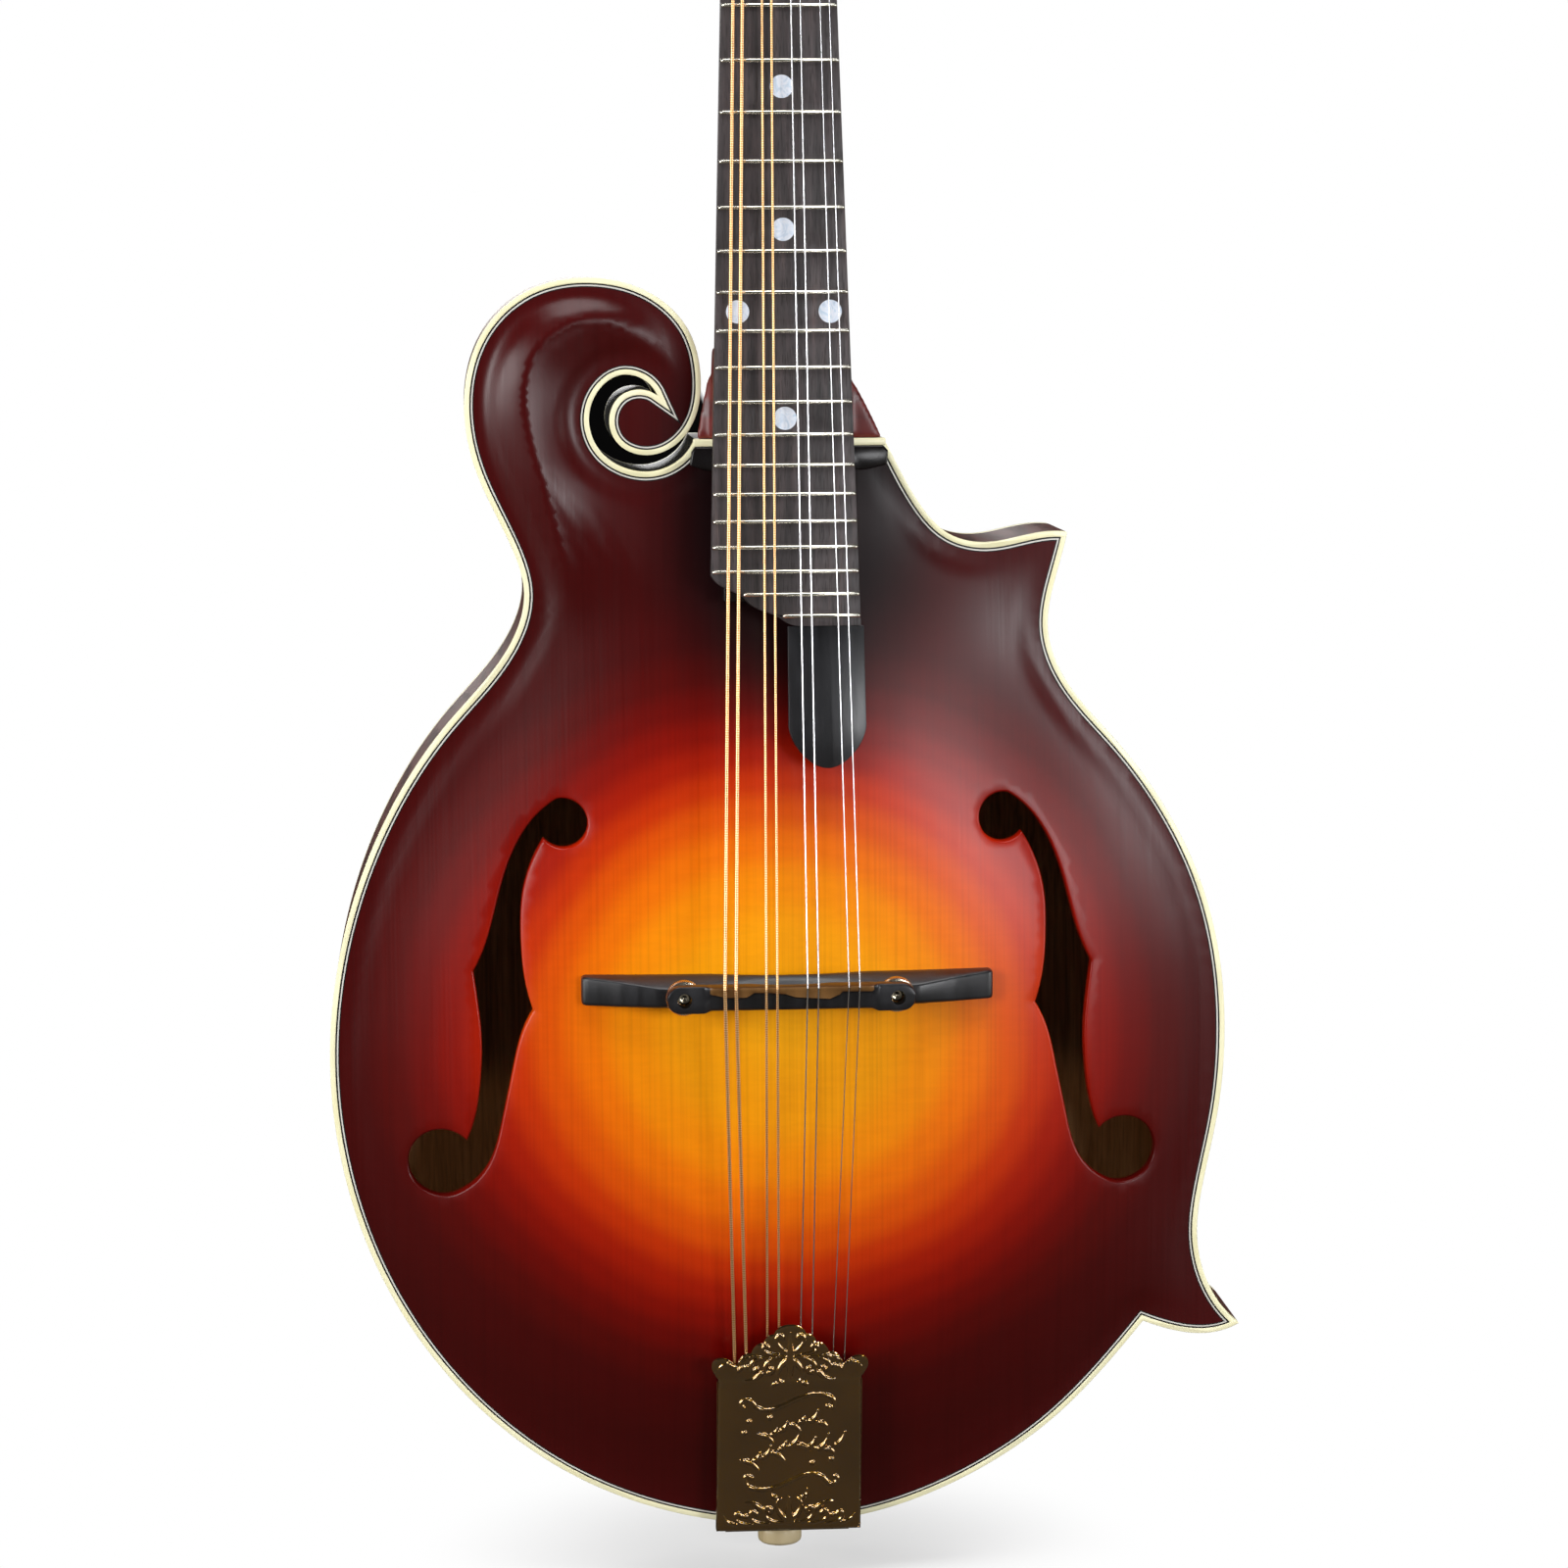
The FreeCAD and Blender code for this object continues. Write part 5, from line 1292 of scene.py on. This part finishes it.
def make_cover():
    """The pressed cover: scalloped crest, embossed face, two side walls and a lip at the tail."""
    right = [run([(19.2, 12.62), (20.1, 12.95), (20.4, 13.8)], 0.35),
             run([(20.4, 13.8), (20.3, COVER_BEND)], 0.8),
             run([(20.3, COVER_BEND), (21.0, 60.2), (21.9, 62.4), (21.2, 64.6), (19.4, 65.2),
                  (17.4, 64.8), (15.6, 63.4), (14.9, 62.9)], 0.5),
             run([(14.9, 62.9), (14.0, 64.9), (12.6, 66.2), (10.9, 66.4)], 0.5),
             run([(10.9, 66.4), (10.2, 67.9), (8.9, 69.1), (7.3, 69.2)], 0.5),
             run([(7.3, 69.2), (6.9, 70.6), (5.8, 71.6), (4.5, 71.9)], 0.5),
             run([(4.5, 71.9), (3.6, 73.4), (2.0, 74.4), (0.0, 74.6)], 0.5)]
    half = [p for samples in right for p in samples[:-1]]
    left = [(-x, z) for x, z in reversed(half)]
    loop = half + [(0.0, 74.6)] + left
    loop += run([left[-1], half[0]], 0.8)[1:-1]
    flat, tris = fill([loop], 0.6, fine=(0.21, lambda p: emboss(p, 0.25) > 0))
    relief = emboss(flat)
    rim = nearest(flat, np.array(loop))[0]
    curl = np.clip(1.44 - (1.2 - np.minimum(rim, 1.2)) ** 2, 0, 1.44)
    roll = np.where(rim < 1.2, 1.2 - np.sqrt(curl), 0)
    roll *= np.where(flat[:, 1] < 59, 1.0, 0.22)
    bead = 0.25 * np.exp(-((flat[:, 1] - 57.6) / 0.7) ** 2)
    front = cover_front(flat[:, 1]) - relief + roll - bead * (abs(flat[:, 0]) < 19.6)
    skin = thick(flat + np.array([CENTRE, 0]), tris, front, cover_front(flat[:, 1]) + 0.75 + roll)
    shape = Shape().add(skin)
    for side in (-1, 1):
        x0, x1 = sorted(CENTRE + side * x for x in COVER_SIDE)
        rows = []
        for z in np.linspace(12.7, COVER_BEND, 30):
            y = cover_front(z) + 1.0
            rows.append([(x0, y, z), (x1, y, z), (x1, y + 3.5, z), (x0, y + 3.5, z)])
        shape.add(loft(rows))
    lip = []
    for x in np.linspace(-20.1, 20.1, 41):
        y0 = cover_front(COVER_FOOT) + 0.6
        lip.append([(CENTRE + x, y, z) for y, z in (
            (y0, 12.9), (y0 + 2.4, 12.8), (-25.1, 13.0), (-25.0, 13.35), (y0 + 2.4, 13.3),
            (y0 + 0.3, 13.4))])
    shape.add(loft(lip))
    shape.piece("tailpiece_lid", ["tailpiece_metal"], "cover", "tailpiece_metal",
                ["tailpiece_cover"], 60)


def make_strap_button():
    profile = [(6.5, 0.0), (6.62, 0.35), (6.2, 1.0), (5.6, 1.5), (4.8, 2.6), (4.2, 3.6), (4.1, 4.6),
               (4.5, 5.4), (5.5, 6.2), (6.1, 6.8), (6.3, 7.5), (6.3, 9.9), (6.1, 10.6), (5.5, 11.1),
               (4.6, 11.4), (2.4, 11.35), (0.8, 11.2)]
    shape = Shape().add(turned(profile, (0, 0, 12.0), (0, 0, -1), 64))
    shape.add(turned([(3.3, 0.0), (2.8, 17.0), (2.2, 17.8)], (0, 0, 11.0), (0, 0, 1), 32))
    shape.piece("strap_knob", ["ivory_plastic"], slot="button_plastic", nodes=["strap_button"],
                sharp=40)


# ---- strings --------------------------------------------------------------------------------
COURSES = {"g": (-1.5, 0.5), "d": (-0.5, 0.34), "a": (0.5, 0.2), "e": (1.5, 0.14)}
POSTS_OF = {"g": (1, 2), "d": (3, 4), "a": (8, 7), "e": (6, 5)}


def string_points(place, radius, pair, number):
    """Where a string lies on its hook, on the saddle, in the nut and at its post."""
    side, z = post_place(number)
    tail = np.array([CENTRE + place * 8.93 + pair * 1.65, HOOK_Y, HOOK_Z])
    crown = np.array([CENTRE + place * 11.29 + pair * 1.5, CROWN_Y - 0.02 - radius, BRIDGE_Z])
    nut = through(ON_NECK, (place * 6.73 + pair * 1.2 + CENTRE, -BOARD - 1.5 - radius, 2.0))
    end = through(ON_HEAD, (side * TUNER_X - side * (POST_RADIUS + radius), WINDING_Y, z))
    return tail, crown, nut, end


def make_strings():
    """Each course in two pieces that meet on the saddle."""
    for name, (place, radius) in COURSES.items():
        wire = "bronze_wire" if name in "gd" else "steel_wire"
        tails, spans = Shape(), Shape()
        for pair, number in zip((-1, 1), POSTS_OF[name]):
            tail, crown, nut, end = string_points(place, radius, pair, number)
            tails.add(tube(np.linspace(tail, crown, 26), radius, 12))
            twist = []
            for a in np.linspace(0, 26, 120):
                turn = (0.75 * math.cos(a), 0.75 * math.sin(a) - 0.05, 0.16 * a - 1.6)
                twist.append(tail + np.array(turn))
            tails.add(tube(twist, 0.28, 6))
            path = np.concatenate([np.linspace(crown, nut, 60), np.linspace(nut, end, 8)[1:]])
            spans.add(tube(path, radius, 12))
            wrap_post(name, number, radius, wire)
        tail_piece = tails.piece("string_ends_" + name, [wire], None, wire)
        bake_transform(tail_piece)
        span_piece = spans.piece("strings_" + name + "_look", [wire], None, wire)
        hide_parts("strings_" + name)
        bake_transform(span_piece)


def wrap_post(name, number, radius, wire):
    """The turns of a string round its post, with the stub through the post's hole."""
    side, z = post_place(number)
    reach = POST_RADIUS + radius
    pitch = 2 * radius + 0.03
    turns = min(5.25, 2.9 / pitch)
    path = []
    for a in np.linspace(0, turns * 2 * math.pi, int(turns * 28)):
        path.append((side * TUNER_X - side * reach * math.cos(a),
                     WINDING_Y + pitch * a / (2 * math.pi), z + reach * math.sin(a)))
    shape = Shape().add(tube([through(ON_HEAD, p) for p in path], radius, 10))
    stub = [(side * TUNER_X + side * u, -6.0, z) for u in (2.2, 3.0, 3.8, 4.4)]
    shape.add(tube([through(ON_HEAD, p) for p in stub], radius, 8))
    shape.piece("winding_%s_%d" % (name, number), [wire], "post_%d" % number, wire)


# ---- tuners ---------------------------------------------------------------------------------
def key_shape():
    """Worm, shaft, collar and button along +X, worm axis at y = z = 0."""
    shape = Shape()
    shape.add(turned([(0.6, 0), (1.05, 0.2), (1.25, 0.5), (1.25, 2.6), (1.7, 2.9), (1.7, 13.1),
                      (1.25, 13.4), (1.25, 15.9), (1.9, 16.0), (2.1, 16.2), (2.1, 17.6),
                      (1.9, 17.8), (1.25, 18.0), (1.2, 25.0), (1.6, 25.6), (1.6, 27.0)],
                     (8.4, 0, 0), (1, 0, 0), 32))
    lead = 2 * math.pi * GEAR_RADIUS / TEETH
    rings = []
    for x in np.linspace(WORM_START, WORM_END, 150):
        angle = math.pi / 2 + (x - TUNER_X) * 2 * math.pi / lead
        grow = min(1.0, (x - WORM_START) / 0.8, (WORM_END - x) / 0.8)
        tip = 1.7 + 1.25 * max(0.05, grow)
        rings.append([(x + along, r * math.cos(angle), r * math.sin(angle)) for along, r in
                      ((-0.62, 1.55), (-0.28, tip), (0.28, tip), (0.62, 1.55))])
    shape.add(loft(rings))
    rings = []
    for t in np.linspace(-1, 1, 25):
        swell_y = max(0.02, 1 - abs(t) ** 3.2) ** 0.42
        swell_z = max(0.02, 1 - abs(t) ** 3.6) ** 0.38
        waist = 1 - 0.10 * (1 - smooth(min(1, (t + 1) / 0.9)))
        ring = []
        for a in np.linspace(0, 2 * math.pi, 36, endpoint=False):
            across = math.copysign(abs(math.cos(a)) ** 0.75, math.cos(a))
            along = math.copysign(abs(math.sin(a)) ** 0.7, math.sin(a))
            ring.append((BUTTON_X + BUTTON_REACH * t, BUTTON_DEPTH * swell_y * across,
                         BUTTON_WIDTH * swell_z * waist * along))
        rings.append(ring)
    shape.add(loft(rings), 1)
    return shape


def make_keys():
    pattern = key_shape()
    for number in range(1, 9):
        side, z = post_place(number)
        flip = np.eye(4)
        flip[0, 0] = flip[1, 1] = side
        matrix = ON_HEAD @ shift(0, WORM_Y, z - WORM_DROP) @ flip
        shape = Shape()
        shape.verts = (np.array(pattern.verts) @ matrix[:3, :3].T + matrix[:3, 3]).tolist()
        shape.faces, shape.index = pattern.faces, pattern.index
        shape.piece("tuner_key_%d_look" % number, ["nickel", "button_plastic"], "key_%d" % number,
                    "button_plastic", ["tuner_key_%d" % number], 40)


def make_tuners():
    def is_gear(point):
        return through(OFF_HEAD, point)[1] > 15.0

    for number in range(1, 9):
        refined("tuner_post_%d" % number, "nickel", 0.18, 2, 45,
                ("gear_brass", is_gear), 30)
    for side in ("bass", "treble"):
        refined("tuner_plate_" + side, "nickel", 0.2, 2, 45)
    refined("tuner_bushings", "nickel", 0.3, 3, 45)
    refined("tuner_plate_screws", "nickel", 0)


def make_small_parts():
    """CAD nodes with rounded edges, and those that keep their CAD mesh with a better material."""
    for node, material, slot, width in (
            ("fretboard_extension", "ebony", "ebony", 0.7),
            ("neck_riser", "black_lacquer", "ebony", 0.9),
            ("nut", "bone", "bone", 0.35),
            ("truss_rod_cover", "black_lacquer", "black_plastic", 0.35),
            ("headstock_binding", "cream_plastic", "cream_plastic", 0.25),
            ("tailpiece_base", "tailpiece_metal", "tailpiece_metal", 0.15),
            ("fretboard", "board_wood", "board_wood", 0.15)):
        piece = refined(node, material, width)
        if node == "tailpiece_base":
            hide_behind_cover(piece)
    for material, nodes in (("black_lacquer", ["headstock_overlay"]),
                            ("pearl", ["headstock_inlay", "fret_markers"]),
                            ("steel", ["truss_rod"]), ("gear_brass", ["truss_rod_nut"]),
                            ("nickel", ["truss_cover_screws", "tailpiece_screws"]),
                            ("inner_wood", ["top_lining", "back_lining", "head_block",
                                            "tail_block", "point_blocks", "tone_bars"])):
        for node in nodes:
            data = frame["nodes"][node].data
            data.materials.clear()
            data.materials.append(MATERIALS[material])


def hide_behind_cover(piece):
    """Draws the tailpiece base's front lip up, so that it doesn't show below the cover."""
    for v in piece.data.vertices:
        if v.co.z < 11.4 * MM and v.co.y < -19.5 * MM:
            v.co.z += 0.9 * MM


make_camera()
make_surroundings()
MATERIALS = make_materials()
make_floor()
make_top()
make_back()
make_edges()
make_ribs()
make_neck()
make_frets()
make_bridge_base()
make_saddle()
make_wheels()
make_posts()
make_cover()
make_strap_button()
make_strings()
make_keys()
make_tuners()
make_small_parts()
